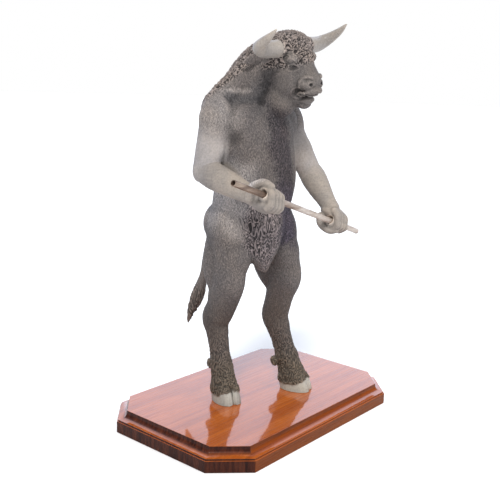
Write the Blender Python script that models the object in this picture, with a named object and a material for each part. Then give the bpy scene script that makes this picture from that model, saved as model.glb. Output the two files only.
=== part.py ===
"""A minotaur statue: one sculpted figure on a moulded plinth, with a thin tube through both fists.

Lengths are in metres, +Z is up, and the figure faces -Y. The origin is the centre of the
plinth's underside. The figure's own forms are given in shares: its height, from the
soles to the horn tips, is SHARES_TALL of them.
"""
import math

import bmesh
import bpy
import numpy as np
from mathutils import Matrix, Vector

# Plinth: a board with clipped corners and a moulded edge
PLINTH_LENGTH = 0.305
PLINTH_DEPTH = 0.1975
PLINTH_CORNER = 0.0343
BAND_HEIGHT = 0.0122
BAND_ROUNDING = 0.0008
LEDGE_WIDTH = 0.0014
STEP_HEIGHT = 0.0018
STEP_LEDGE = 0.0010
COVE_WIDTH = 0.0080
COVE_HEIGHT = 0.0064
TOP_FILLET = 0.0022
COVE_FACETS = 7

# Tube held in the fists
TUBE_DIAMETER = 0.0062
TUBE_WALL = 0.0006
TUBE_LENGTH = 0.2255
TUBE_SLOPE_DEGREES = 18.1
TUBE_SIDES = 20
TUBE_OVERHANG = 0.058
HOLE_PLAY = 0.0015

# Faces that touch in the real piece are set this far apart
REST_GAP = 0.0003

# Figure
FIGURE_HEIGHT = 0.406
SHARES_TALL = 406.0
FIGURE_X = -0.005
FIGURE_Y = 0.0
FIGURE_FACETS = 8600
SHARE = FIGURE_HEIGHT / SHARES_TALL
MASS_VOXEL = 1.7
CLAY_VOXEL = 1.15
MASS_SMOOTHING_COUNT = 10
CLAY_SMOOTHING_COUNT = 2
SOLE_DEPTH = 4.0

# Head: turned a little towards the figure's right, with its left horn higher
HEAD_PLACE = (0.0, -36.5, 381.5)
HEAD_TURN_DEGREES = 1.0
HEAD_TILT_DEGREES = 7.2

PLINTH_HEIGHT = BAND_HEIGHT + STEP_HEIGHT + COVE_HEIGHT + TOP_FILLET
SOLE_LEVEL = PLINTH_HEIGHT + REST_GAP


def clear_scene():
    for thing in list(bpy.data.objects):
        bpy.data.objects.remove(thing, do_unlink=True)


def make_material(name, colour, roughness, metallic=0.0):
    material = bpy.data.materials.new(name)
    material.use_nodes = True
    shader = material.node_tree.nodes["Principled BSDF"]
    shader.inputs["Base Color"].default_value = (*colour, 1.0)
    shader.inputs["Roughness"].default_value = roughness
    shader.inputs["Metallic"].default_value = metallic
    return material


def add_object(name, mesh, material=None):
    thing = bpy.data.objects.new(name, mesh)
    bpy.context.scene.collection.objects.link(thing)
    if material is not None:
        mesh.materials.append(material)
    return thing


def mesh_from(bm, name):
    mesh = bpy.data.meshes.new(name)
    bm.to_mesh(mesh)
    bm.free()
    return mesh


def baked_mesh(thing):
    """The mesh of an object with its modifiers applied."""
    depsgraph = bpy.context.evaluated_depsgraph_get()
    depsgraph.update()
    return bpy.data.meshes.new_from_object(thing.evaluated_get(depsgraph), depsgraph=depsgraph)


# Plinth

def moulding_profile():
    """Set-back and height of each edge of the moulding, from the underside up."""
    profile = [(0.0, 0.0), (0.0, BAND_HEIGHT - BAND_ROUNDING), (BAND_ROUNDING, BAND_HEIGHT)]
    profile.append((LEDGE_WIDTH, BAND_HEIGHT))
    profile.append((LEDGE_WIDTH, BAND_HEIGHT + STEP_HEIGHT))
    cove_start = LEDGE_WIDTH + STEP_LEDGE
    cove_top = BAND_HEIGHT + STEP_HEIGHT + COVE_HEIGHT
    for step in range(COVE_FACETS + 1):
        angle = math.pi / 2 * step / COVE_FACETS
        set_back = cove_start + COVE_WIDTH * math.sin(angle)
        profile.append((set_back, cove_top - COVE_HEIGHT * math.cos(angle)))
    profile.append((cove_start + COVE_WIDTH, cove_top + TOP_FILLET))
    return profile


def clipped_rectangle(set_back):
    """Corners of the board's outline, moved inwards all round by one set-back."""
    half_length = PLINTH_LENGTH / 2 - set_back
    half_depth = PLINTH_DEPTH / 2 - set_back
    clip = PLINTH_CORNER - set_back * (2 - math.sqrt(2))
    quarter = [(half_length, half_depth - clip), (half_length - clip, half_depth)]
    outline = list(quarter)
    outline += [(-x, y) for x, y in reversed(quarter)]
    outline += [(-x, -y) for x, y in quarter]
    outline += [(x, -y) for x, y in reversed(quarter)]
    return outline


def make_plinth():
    bm = bmesh.new()
    rings = []
    for set_back, height in moulding_profile():
        rings.append([bm.verts.new((x, y, height)) for x, y in clipped_rectangle(set_back)])
    for lower, upper in zip(rings, rings[1:]):
        for side in range(len(lower)):
            after = (side + 1) % len(lower)
            bm.faces.new((lower[side], lower[after], upper[after], upper[side]))
    bm.faces.new(list(reversed(rings[0])))
    bm.faces.new(rings[-1])
    wood = make_material("varnished_mahogany", (0.40, 0.13, 0.045), 0.16)
    return add_object("plinth", mesh_from(bm, "plinth"), wood)


# Figure: shapes that stand for its masses, given in shares

def in_world(point):
    """A place given in shares, measured from between the feet on the plinth's top."""
    x, y, z = point
    return Vector((FIGURE_X + x * SHARE, FIGURE_Y + y * SHARE, SOLE_LEVEL + z * SHARE))


def smooth_stations(stations, steps):
    """A smooth run through the stations, all of whose numbers are blended alike."""
    rows = np.array(stations, dtype=float)
    rows = np.vstack([2 * rows[0] - rows[1], rows, 2 * rows[-1] - rows[-2]])
    run = []
    for index in range(1, len(rows) - 2):
        before, start, end, after = rows[index - 1:index + 3]
        for step in range(steps):
            t = step / steps
            run.append(0.5 * (2 * start + (end - before) * t
                              + (2 * before - 5 * start + 4 * end - after) * t * t
                              + (3 * start - before - 3 * end + after) * t ** 3))
    run.append(rows[-2])
    return run


def add_ring(bm, centre, across, along, half_width, half_depth, sides):
    ring = []
    for side in range(sides):
        angle = 2 * math.pi * side / sides
        place = (centre + across * (half_width * math.cos(angle))
                 + along * (half_depth * math.sin(angle)))
        ring.append(bm.verts.new(in_world(place)))
    return ring


def add_limb(bm, stations, across=(1, 0, 0), steps=4, sides=20):
    """A closed form with oval sections. A station is x, y, z, half-width and half-depth."""
    run = smooth_stations(stations, steps)
    hint = Vector(across).normalized()
    first_tangent = Vector(run[1][:3] - run[0][:3]).normalized()
    last_tangent = Vector(run[-1][:3] - run[-2][:3]).normalized()
    rings = []
    for index, row in enumerate(run):
        before = run[max(index - 1, 0)]
        after = run[min(index + 1, len(run) - 1)]
        tangent = Vector(after[:3] - before[:3]).normalized()
        wide = (hint - tangent * hint.dot(tangent)).normalized()
        deep = tangent.cross(wide)
        width = max(row[3], 0.2)
        depth = max(row[4], 0.2)
        centre = Vector(row[:3])
        if index == 0:
            for lift, shrink in ((0.7, 0.35), (0.4, 0.8)):
                inner = centre - first_tangent * (min(width, depth) * lift)
                rings.append(add_ring(bm, inner, wide, deep, width * shrink, depth * shrink, sides))
        rings.append(add_ring(bm, centre, wide, deep, width, depth, sides))
        if index == len(run) - 1:
            for lift, shrink in ((0.4, 0.8), (0.7, 0.35)):
                outer = centre + last_tangent * (min(width, depth) * lift)
                rings.append(add_ring(bm, outer, wide, deep, width * shrink, depth * shrink, sides))
    for lower, upper in zip(rings, rings[1:]):
        for side in range(sides):
            after = (side + 1) % sides
            bm.faces.new((lower[side], lower[after], upper[after], upper[side]))
    bm.faces.new(list(reversed(rings[0])))
    bm.faces.new(rings[-1])


def add_lump(bm, centre, radii, lean=(0, 0, 0)):
    """An ellipsoid. The lean gives its turns about X, Y and Z in degrees."""
    turn = Matrix.Identity(4)
    for degrees, axis in zip(lean, "XYZ"):
        turn = Matrix.Rotation(math.radians(degrees), 4, axis) @ turn
    size = Matrix.Diagonal((*(radius * SHARE for radius in radii), 1.0))
    place = Matrix.Translation(in_world(centre))
    bmesh.ops.create_uvsphere(bm, u_segments=20, v_segments=12, radius=1.0,
                              matrix=place @ turn @ size)


def mix(start, end, share):
    return tuple(a + (b - a) * share for a, b in zip(start, end))


def add_muscle(bm, start, end, half_width, half_depth, across=(1, 0, 0), swell=0.5):
    """A belly of muscle between two points, thickest at the swell and thin at the ends."""
    rows = []
    for share in (0.0, 0.15, 0.35, 0.55, 0.75, 0.9, 1.0):
        bulge = math.sin(math.pi * share ** (math.log(0.5) / math.log(swell))) ** 0.75
        thick = 0.25 + 0.75 * bulge
        rows.append((*mix(start, end, share), half_width * thick, half_depth * thick))
    add_limb(bm, rows, across, steps=2)


# Body

def add_torso(bm):
    add_limb(bm, [
        (0, 13, 176, 30, 22),
        (0, 13, 190, 43, 32),
        (-1.5, 13, 206, 46.5, 35),
        (0, 10, 224, 48.5, 36.5),
        (0.5, 8, 242, 49.5, 38),
        (-1, 8.5, 260, 49, 38.5),
        (-3, 11, 278, 50, 39),
        (-3, 13, 296, 53, 39),
        (-3, 15, 312, 50, 36),
        (-3, 17, 328, 40, 30),
    ], across=(1, -0.12, 0), sides=28)
    for side in (-1, 1):
        # chest
        add_lump(bm, (side * 21 - 4, -5 - side * 2, 303), (27, 14, 23), (0, side * 12, -6))
        # back of the armpit
        add_lump(bm, (side * 38 - 3, 24 - side * 4, 285), (14, 18, 34), (0, side * 9, 0))
        # shoulder blade
        add_lump(bm, (side * 30 - 3, 33 - side * 4, 308), (20, 12, 26), (-6, side * 10, 0))
        # flank
        add_lump(bm, (side * 35, 11, 214), (12, 25, 19))
        # buttock
        add_lump(bm, (side * 22, 33, 193), (24, 21, 25), (0, side * 6, 0))
    # belly
    add_lump(bm, (1, -9.5, 241), (36, 19.5, 35))
    # breastbone
    add_lump(bm, (-4, -16, 312), (18, 12, 24), (12, 0, 0))


def add_neck(bm):
    add_limb(bm, [
        (-3, 21, 306, 45, 30),
        (-3, 16.5, 326, 41, 31),
        (-2, 8.5, 343, 34, 31),
        (-1, -1.5, 357, 29, 29),
        (0, -12, 367, 26, 25),
        (0, -20, 372, 24, 21),
    ], sides=28)
    # hump over the shoulders
    add_lump(bm, (-2, 21.5, 332.5), (26, 21.2, 21.6), (-30, 0, 0))
    # throat and dewlap
    add_lump(bm, (-2, -20, 330), (19, 24, 22), (20, 0, 0))
    for side in (-1, 1):
        # slope of muscle from the neck to the shoulder
        add_limb(bm, [
            (side * 18 - 2, 7, 349, 16, 17.5),
            (side * 34 - 3, 13.5 - side * 4, 332, 14.2, 15.2),
            (side * 48 - 3, 15 - side * 6, 319.5, 12.4, 14.2),
        ], across=(0, 1, 0))


# Head: points are measured from the middle of the line between the horns' roots

def head_frame():
    left = Vector((1.0, -math.tan(math.radians(HEAD_TURN_DEGREES)),
                   math.tan(math.radians(HEAD_TILT_DEGREES)))).normalized()
    back = Vector((0, 0, 1)).cross(left).normalized()
    return left, back, left.cross(back)


def on_head(x, y, z):
    left, back, upward = head_frame()
    return tuple(Vector(HEAD_PLACE) + left * x + back * y + upward * z)


def head_lump(bm, centre, radii, lean=(0, 0, 0)):
    tilted = (lean[0], lean[1] - HEAD_TILT_DEGREES, lean[2] - HEAD_TURN_DEGREES)
    add_lump(bm, on_head(*centre), radii, tilted)


def head_limb(bm, stations, across=(1, 0, 0), steps=4, sides=20):
    left, back, upward = head_frame()
    wide = left * across[0] + back * across[1] + upward * across[2]
    rows = [(*on_head(*row[:3]), *row[3:]) for row in stations]
    add_limb(bm, rows, wide, steps, sides)


def add_head_masses(bm):
    # skull and poll
    head_lump(bm, (0, 10, -13), (24, 26, 23))
    head_lump(bm, (-1, 6, 2.6), (24.5, 19, 12.5))
    # face, from the brow down to the muzzle
    head_limb(bm, [
        (0, 2, -4, 22, 18),
        (0, -1, -15, 19.5, 17),
        (0, -9, -25, 16.5, 15),
        (0, -17, -33, 14.5, 12.5),
        (0, -21.5, -38, 13.5, 10.5),
    ], sides=24)
    # jaw
    head_limb(bm, [
        (0, 15, -28, 21, 16),
        (0, 6, -42, 19, 16),
        (0, -4, -49, 15, 12.5),
        (0, -10.5, -54, 11, 9.5),
    ], sides=24)
    for side in (-1, 1):
        # cheek and brow
        head_lump(bm, (side * 14.5, 3, -34), (9.5, 18, 18), (10, 0, 0))
        head_lump(bm, (side * 14.5, -10.5, -11.5), (6.5, 7.0, 5.5), (20, 0, 0))


def add_muzzle(bm):
    # nose pad, upper lip, lower lip and chin
    head_lump(bm, (0, -21.5, -36.5), (11.5, 8.0, 8.0), (-20, 0, 0))
    head_lump(bm, (0, -24, -45.3), (11.5, 8.0, 5), (-10, 0, 0))
    head_lump(bm, (0, -15.5, -54), (9.5, 7.0, 4.5))
    head_lump(bm, (0, -12, -57.7), (8.5, 7.0, 5.5))
    for side in (-1, 1):
        # wing of the nostril
        head_lump(bm, (side * 8.5, -23, -38), (4.8, 6.5, 5.5))
        # ridge that arches over the nostril
        head_limb(bm, [
            (side * 13, -16.5, -40, 1.6, 1.6),
            (side * 13.8, -18.5, -34, 1.8, 1.8),
            (side * 11.5, -23.5, -30.2, 1.8, 1.8),
            (side * 7, -28.5, -31, 1.6, 1.6),
        ])
        # corner of the mouth
        head_lump(bm, (side * 11.2, -18, -47), (2.6, 5.5, 2.6))


def add_horn(bm, side):
    head_limb(bm, [
        (side * 17, 0, -1, 9.0, 9.0),
        (side * 30, 1, -1.5, 8.6, 8.6),
        (side * 43, 2, -1.2, 8.0, 8.0),
        (side * 51.5, 0, 1.0, 7.1, 7.1),
        (side * 56, -7, 5, 5.6, 5.6),
        (side * 57.5, -17.5, 11, 3.6, 3.6),
        (side * 57, -26.5, 17.5, 1.0, 1.0),
    ], across=(0, 0, 1))


def add_ear(bm, side):
    head_limb(bm, [
        (side * 21, 14, -8, 4.5, 3.2),
        (side * 28, 21, -9.5, 6.0, 2.2),
        (side * 36, 27, -11.5, 5.0, 1.7),
        (side * 43, 31, -13.5, 1.2, 0.9),
    ], across=(0, -0.3, 1), sides=14)


def add_eye(bm, side):
    head_lump(bm, (side * 14.2, -10.5, -19.0), (3.2, 3.2, 2.8))
    # upper and lower lid
    for lift, depth in ((2.8, 1.4), (-2.6, 1.1)):
        head_limb(bm, [
            (side * 17.5, -6, -19 + lift * 0.3, depth * 0.8, depth * 0.8),
            (side * 15.8, -11.5, -19 + lift, depth, depth),
            (side * 11.5, -15, -19.5 + lift * 0.3, depth * 0.8, depth * 0.8),
        ])


# Arms

RIGHT_SHOULDER = (-48.5, 18.5, 313)
RIGHT_ELBOW = (-65, 22, 252.8)
LEFT_SHOULDER = (43.5, 12.5, 311)
LEFT_ELBOW = (58.3, -21.5, 250.8)
RIGHT_FIST_X = -57.0
LEFT_FIST_X = 58.0
FISTS_Y = -60.0
RIGHT_FIST_Z = 233.8
WRIST_SHARE = 0.72


def tube_direction():
    slope = math.radians(TUBE_SLOPE_DEGREES)
    return Vector((math.cos(slope), 0, -math.sin(slope)))


def fist_centre(side):
    """Where the tube's axis crosses the middle of a fist, in shares."""
    across = (LEFT_FIST_X if side > 0 else RIGHT_FIST_X) - RIGHT_FIST_X
    drop = across * math.tan(math.radians(TUBE_SLOPE_DEGREES))
    return Vector((RIGHT_FIST_X + across, FISTS_Y, RIGHT_FIST_Z - drop))


def add_arm(bm, side):
    shoulder = RIGHT_SHOULDER if side < 0 else LEFT_SHOULDER
    elbow = RIGHT_ELBOW if side < 0 else LEFT_ELBOW
    palm = fist_centre(side) + Vector((0, 0, side * 7.0))
    wrist = mix(elbow, palm, WRIST_SHARE)
    add_limb(bm, [
        (*mix(shoulder, elbow, 0.0), 17.5, 18.5),
        (*mix(shoulder, elbow, 0.25), 17, 17.5),
        (*mix(shoulder, elbow, 0.5), 15, 16.5),
        (*mix(shoulder, elbow, 0.75), 13.5, 15),
        (*mix(shoulder, elbow, 1.0), 12.5, 13),
    ])
    # shoulder cap, front and back of the upper arm
    add_muscle(bm, (shoulder[0] - side * 2, shoulder[1], shoulder[2] + 16),
               mix(shoulder, elbow, 0.62), 17, 19, swell=0.4)
    add_lump(bm, (shoulder[0] + side * 3.5, shoulder[1], shoulder[2] - 2), (14, 18, 22))
    add_muscle(bm, mix(shoulder, elbow, 0.12), mix(shoulder, elbow, 1.02), 12, 17.5, swell=0.55)
    # point of the elbow
    add_lump(bm, (elbow[0], elbow[1] + 5, elbow[2] - 4), (8.5, 8.5, 8.5))
    forearm = Vector(palm) - Vector(elbow)
    add_limb(bm, [
        (*mix(elbow, palm, -0.05), 11.5, 12.5),
        (*mix(elbow, palm, 0.15), 13.5, 14.5),
        (*mix(elbow, palm, 0.35), 12.5, 13.5),
        (*mix(elbow, palm, 0.55), 10.5, 11.5),
        (*wrist, 9.6, 9.8),
        (*mix(elbow, palm, 0.86), 10.5, 9.8),
    ], across=forearm.cross(Vector((0, 0, 1))))


# Hands: a hand closes round the tube, its back below it on the right and above it on the left

FINGER_THICKNESS = 3.4
FINGER_PITCH = 5.7


def hole_radius_in_shares():
    return (TUBE_DIAMETER / 2 + HOLE_PLAY) / SHARE


def grip_point(side, along, radius, degrees):
    """A point round the tube. Zero degrees is forward, and 90 is towards the fingertips."""
    angle = math.radians(degrees)
    rising = -side
    offset = Vector((0, -math.cos(angle) * radius, rising * math.sin(angle) * radius))
    return fist_centre(side) + tube_direction() * along + offset


def add_finger(bm, side, order):
    """Order 0 is the first finger, next to the thumb, on the side that faces the tube's near end."""
    along = (order - 1.5) * FINGER_PITCH
    thick = FINGER_THICKNESS * (1.04, 1.0, 0.97, 0.88)[order]
    reach = hole_radius_in_shares() + thick * 0.8
    knuckle = reach + 2.0
    rows = []
    bends = ((-78, knuckle + 3.0, 1.15), (-45, knuckle + 1.6, 1.15), (-12, reach + 1.0, 1.0),
             (20, reach + 1.6, 1.08), (60, reach + 0.3, 0.95), (95, reach + 0.8, 0.98),
             (135, reach, 0.85))
    for degrees, radius, swell in bends:
        point = grip_point(side, along, radius, degrees)
        rows.append((*point, thick * swell, thick * swell * 0.95))
    add_limb(bm, rows, tube_direction(), steps=3, sides=12)


def add_hand(bm, side):
    centre = fist_centre(side)
    palm_height = side * (hole_radius_in_shares() + 5.2 + side * 0.9)
    back = Vector((0, 10, palm_height))
    turn = TUBE_SLOPE_DEGREES
    # palm, and the heel that closes the back of the grip
    add_lump(bm, tuple(centre + back + Vector((0, -6, 0))), (13.5, 14, 7.5), (side * 8, turn, 0))
    add_lump(bm, tuple(centre + Vector((0, 9.5, side * 1.0))), (12, 7.5, 9.5), (0, turn, 0))
    # core of the fist, which the hole is cut through
    axis = tube_direction()
    add_limb(bm, [(*(centre - axis * 8), 7.6, 7.6), (*(centre + axis * 8), 7.6, 7.6)],
             across=(0, 1, 0), steps=2)
    for order in range(4):
        add_finger(bm, side, order)
    add_thumb(bm, side)


def add_thumb(bm, side):
    reach = hole_radius_in_shares() + 5.0
    rows = []
    tuck = 1.0 if side < 0 else 0.35
    bends = ((-12.0, 200, 8.0, 5.4), (-13.5, 160, 4.2, 5.0), (-12.5, 125, 2.0, 4.6),
             (-9.5, 90, 2.6, 4.4), (-6.0, 55, 1.8, 3.9))
    for along, degrees, full_lift, thick in bends:
        lift = full_lift * tuck
        rows.append((*grip_point(side, along, reach + lift, degrees), thick, thick * 0.9))
    add_limb(bm, rows, tube_direction(), steps=4, sides=14)


# Legs

LEGS = {
    -1: {"hip": (-27, 17.5, 196), "knee": (-37.5, 10.5, 132), "hock": (-35.5, 29, 87),
         "fetlock": (-39, 16.5, 41), "hoof": (-42.5, 4, 0), "bow": (0.5, -1.5, 0),
         "calf": 1.0, "dewclaw": 36},
    1: {"hip": (23.5, 7, 196), "knee": (31, -13.5, 131), "hock": (34, 0.5, 83),
        "fetlock": (39, -14, 39), "hoof": (41.5, -29, 0), "bow": (0, 0.5, 0),
        "calf": 0.9, "dewclaw": 30},
}
TOE_OUT_DEGREES = 17.0
HOOF_DEPTH = 17.3
CLEFT_WIDTH = 2.0
CLEFT_HEIGHT = 14.0
CLEFT_DEPTH = 7.5
CLEFT_TAPER = 0.6
CLEFT_LEAN = 0.35


def add_leg(bm, side):
    leg = LEGS[side]
    hip, knee, hock, fetlock = leg["hip"], leg["knee"], leg["hock"], leg["fetlock"]
    across = (1, side * 0.2, 0)
    bow, calf = Vector(leg["bow"]), leg["calf"]
    coronet = mix(fetlock, leg["hoof"], 0.62)
    add_limb(bm, [
        (*mix(hip, knee, -0.12), 24, 28),
        (*mix(hip, knee, 0.2), 25, 30),
        (*mix(hip, knee, 0.5), 19, 25.5),
        (*mix(hip, knee, 0.78), 17.2, 23.2),
        (*(Vector(knee) + bow * 0.5), 16.3, 20.3),
        (*(Vector(mix(knee, hock, 0.35)) + bow), 15.6 * calf, 18.8 * calf),
        (*(Vector(mix(knee, hock, 0.7)) + bow), 14.4 * calf, 17.6 * calf),
        (*hock, 14.2 * calf, 17.8 * calf),
        (*mix(hock, fetlock, 0.25), 11.8, 14.4),
        (*mix(hock, fetlock, 0.6), 10.6, 12.2),
        (*mix(hock, fetlock, 0.85), 10.4, 12),
        (*fetlock, 11.8, 13.4),
        (*mix(fetlock, coronet, 0.5), 12, 14),
        (*coronet, 13.4, 16.4),
    ], across, steps=3, sides=24)
    # front and back of the thigh
    front = Vector((0, -9, 0))
    add_muscle(bm, Vector(mix(hip, knee, 0.0)) + front, Vector(knee) + front * 0.7,
               18.8, 20, across, 0.5)
    add_muscle(bm, Vector(hip) - front * 1.1, Vector(mix(knee, hock, 0.4)) - front * 0.9,
               20, 19.3, across, 0.5)
    # kneecap, calf and point of the hock
    add_lump(bm, Vector(knee) + Vector((0, -9, 1)), (11, 9, 11))
    add_muscle(bm, Vector(knee) + Vector((0, 7, 4)) + bow, Vector(hock) + Vector((0, 6.5, 8)),
               12.5 * calf, 10.5 * calf, across, 0.35)
    add_lump(bm, Vector(hock) + Vector((0, 9.5, 5)), (7, 7, 10), (-12, 0, 0))
    # swelling of the fetlock
    add_lump(bm, Vector(fetlock) + Vector((0, 1, 0)), (11.8, 12.8, 9))


def toe_frame(side):
    """Directions sideways and forward for a foot."""
    turn = math.radians(TOE_OUT_DEGREES) * side
    forward = Vector((math.sin(turn), -math.cos(turn), 0))
    sideways = Vector((math.cos(turn), math.sin(turn), 0))
    return sideways, forward


def add_hoof(bm, side):
    """Two claws that meet in front, and two dewclaws behind the fetlock."""
    leg = LEGS[side]
    sideways, forward = toe_frame(side)
    ground = Vector(leg["hoof"])
    coronet = Vector(mix(leg["fetlock"], leg["hoof"], 0.62))
    for half in (-1, 1):
        top = coronet + sideways * (half * 4.4) - forward * 1.0
        foot = ground + sideways * (half * 4.8)
        below = Vector((0, 0, -SOLE_DEPTH))
        add_limb(bm, [
            (*(top + Vector((0, 0, 6))), 8.2, 12.5),
            (*(top + forward * 0.6), 9.2, 15.2),
            (*mix(top + forward * 0.6, foot, 0.5), 9.6, 16.8),
            (*foot, 9.9, HOOF_DEPTH),
            (*(foot + below), 10.1, 17.5),
        ], sideways, steps=3, sides=18)
        dewclaw = Vector(leg["fetlock"]) + sideways * (half * 6.5) - forward * 11.5
        dewclaw.z = leg["dewclaw"]
        add_lump(bm, dewclaw, (3.6, 4.8, 5.8), (-25, 0, 0))


def add_cleft(bm, side):
    """The upright slit between the two claws, open at the front of the foot."""
    sideways, forward = toe_frame(side)
    inner = Vector(LEGS[side]["hoof"]) + forward * (HOOF_DEPTH - CLEFT_DEPTH)
    corners = []
    for height in (-2 * SOLE_DEPTH, CLEFT_HEIGHT):
        for reach, breadth in ((0, -CLEFT_TAPER), (0, CLEFT_TAPER), (2 * CLEFT_DEPTH, 1), (2 * CLEFT_DEPTH, -1)):
            place = inner + forward * reach + sideways * (breadth / 2 * CLEFT_WIDTH)
            place.z = height - (CLEFT_LEAN * (height > 0) * reach)
            corners.append(bm.verts.new(in_world(place)))
    lower, upper = corners[:4], corners[4:]
    bm.faces.new(list(reversed(lower)))
    bm.faces.new(upper)
    for index in range(4):
        after = (index + 1) % 4
        bm.faces.new((lower[index], lower[after], upper[after], upper[index]))


# Tail and tufts

def add_tail(bm):
    add_limb(bm, [
        (0, 40, 214, 7, 7),
        (-1, 56, 206, 5.8, 5.8),
        (-2.5, 66, 188, 4.8, 4.8),
        (-4, 71.5, 164, 4.3, 4.3),
        (-7, 73.5, 143, 4.2, 4.2),
        (-10, 73, 126, 5.0, 4.6),
        (-13, 75.5, 110, 7.8, 6.2),
        (-16, 79, 95, 8.4, 6.6),
        (-20, 83.5, 79, 5.0, 4.2),
        (-22.5, 86.5, 64, 0.6, 0.6),
    ], sides=16)


def add_groin_tuft(bm):
    add_limb(bm, [
        (-3, -14, 216, 24, 12),
        (-5, -16.5, 194, 24, 13),
        (-8, -15, 172, 21, 12),
        (-7, -13, 157, 15.5, 9),
        (-2, -11.5, 144, 4, 4),
    ], sides=18)


def shape_masses():
    """The body's large forms, blended into one smooth skin."""
    bm = bmesh.new()
    add_torso(bm)
    add_neck(bm)
    add_head_masses(bm)
    for side in (-1, 1):
        add_arm(bm, side)
        add_leg(bm, side)
    add_tail(bm)
    add_groin_tuft(bm)
    masses = add_object("masses", mesh_from(bm, "masses"))
    add_remesh(masses, MASS_VOXEL, MASS_SMOOTHING_COUNT)
    skin = baked_mesh(masses)
    bpy.data.objects.remove(masses, do_unlink=True)
    return skin


def add_remesh(thing, voxel, smoothing):
    remesh = thing.modifiers.new("blend", "REMESH")
    remesh.mode = "VOXEL"
    remesh.voxel_size = voxel * SHARE
    smooth = thing.modifiers.new("soften", "SMOOTH")
    smooth.factor = 0.5
    smooth.iterations = round(smoothing)


def shape_features(bm):
    """The forms that keep their edges: horns, ears, lids, muzzle, hands and hooves."""
    add_muzzle(bm)
    for side in (-1, 1):
        add_horn(bm, side)
        add_ear(bm, side)
        add_eye(bm, side)
        add_hand(bm, side)
        add_hoof(bm, side)


def keep_count(thing, count):
    """Thins a mesh out to about so many triangles."""
    triangles = sum(len(face.vertices) - 2 for face in thing.data.polygons)
    thin = thing.modifiers.new("thin", "DECIMATE")
    thin.ratio = min(1.0, count / triangles)
    thin.use_collapse_triangulate = True


def cut_with(thing, cutter):
    cutter.hide_render = True
    cutter.display_type = "WIRE"
    cut = thing.modifiers.new("cut", "BOOLEAN")
    cut.operation = "DIFFERENCE"
    cut.solver = "EXACT"
    cut.object = cutter


def add_cylinder(bm, start, end, radius, sides):
    """A closed cylinder between two points in metres."""
    axis = end - start
    turn = axis.to_track_quat("Z", "Y").to_matrix().to_4x4()
    place = Matrix.Translation((start + end) / 2) @ turn
    bmesh.ops.create_cone(bm, cap_ends=True, segments=sides, radius1=radius, radius2=radius,
                          depth=axis.length, matrix=place)


def make_ground_cutter():
    """A slab whose top is the level of the soles."""
    bm = bmesh.new()
    size = Matrix.Diagonal((PLINTH_LENGTH, PLINTH_DEPTH, 10 * SOLE_DEPTH * SHARE, 1.0))
    place = Matrix.Translation((0, 0, SOLE_LEVEL - 5 * SOLE_DEPTH * SHARE))
    bmesh.ops.create_cube(bm, size=1.0, matrix=place @ size)
    return add_object("ground_cutter", mesh_from(bm, "ground_cutter"))


def make_cleft_cutter():
    """The slits in both feet."""
    bm = bmesh.new()
    for side in (-1, 1):
        add_cleft(bm, side)
    bmesh.ops.recalc_face_normals(bm, faces=bm.faces)
    return add_object("cleft_cutter", mesh_from(bm, "cleft_cutter"))


def make_hole_cutter():
    """The hole through both fists, on whose lower side the tube rests."""
    bm = bmesh.new()
    start, end = tube_ends()
    lift = Vector((0, 0, HOLE_PLAY - REST_GAP))
    radius = TUBE_DIAMETER / 2 + HOLE_PLAY
    add_cylinder(bm, start + lift, end + lift, radius, TUBE_SIDES)
    return add_object("hole_cutter", mesh_from(bm, "hole_cutter"))


def tube_ends():
    """The ends of the tube's axis, from its end at the figure's right to the other."""
    start = in_world(fist_centre(-1)) - tube_direction() * TUBE_OVERHANG
    return start, start + tube_direction() * TUBE_LENGTH


def make_minotaur():
    bm = bmesh.new()
    shape_features(bm)
    bm.from_mesh(shape_masses())
    clay = add_object("clay", mesh_from(bm, "clay"))
    add_remesh(clay, CLAY_VOXEL, CLAY_SMOOTHING_COUNT)
    fine = baked_mesh(clay)
    bpy.data.objects.remove(clay, do_unlink=True)
    grey = make_material("weathered_grey_resin", (0.27, 0.245, 0.23), 0.75)
    fine.materials.clear()
    figure = add_object("minotaur", fine, grey)
    keep_count(figure, FIGURE_FACETS)
    cut_with(figure, make_ground_cutter())
    cut_with(figure, make_cleft_cutter())
    cut_with(figure, make_hole_cutter())
    return figure


def make_tube():
    """A thin tube, open at both ends."""
    start, end = tube_ends()
    axis = (end - start).normalized()
    frame = axis.to_track_quat("Z", "Y").to_matrix()
    outer = TUBE_DIAMETER / 2
    inner = outer - TUBE_WALL
    bm = bmesh.new()
    rings = []
    for place, radius in ((start, outer), (end, outer), (end, inner), (start, inner)):
        ring = []
        for side in range(TUBE_SIDES):
            angle = 2 * math.pi * side / TUBE_SIDES
            offset = Vector((math.cos(angle) * radius, math.sin(angle) * radius, 0))
            ring.append(bm.verts.new(place + frame @ offset))
        rings.append(ring)
    for index, ring in enumerate(rings):
        other = rings[(index + 1) % len(rings)]
        for side in range(TUBE_SIDES):
            after = (side + 1) % TUBE_SIDES
            bm.faces.new((ring[side], ring[after], other[after], other[side]))
    brass = make_material("aged_metal", (0.36, 0.28, 0.20), 0.38, 0.9)
    tube = add_object("staff", mesh_from(bm, "staff"), brass)
    tube.data.shade_smooth()
    tube.data.set_sharp_from_angle(angle=math.radians(40))
    return tube


def main():
    clear_scene()
    make_plinth()
    make_minotaur()
    make_tube()


main()
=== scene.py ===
"""The minotaur statue dressed for the camera: fur, curls and folds on the figure, varnished
wood and aged metal. Lengths are in metres; the figure's forms are in shares of its height."""

import itertools
import math
from types import SimpleNamespace

import bmesh
import bpy
import numpy as np
from mathutils import Matrix, Vector


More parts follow.
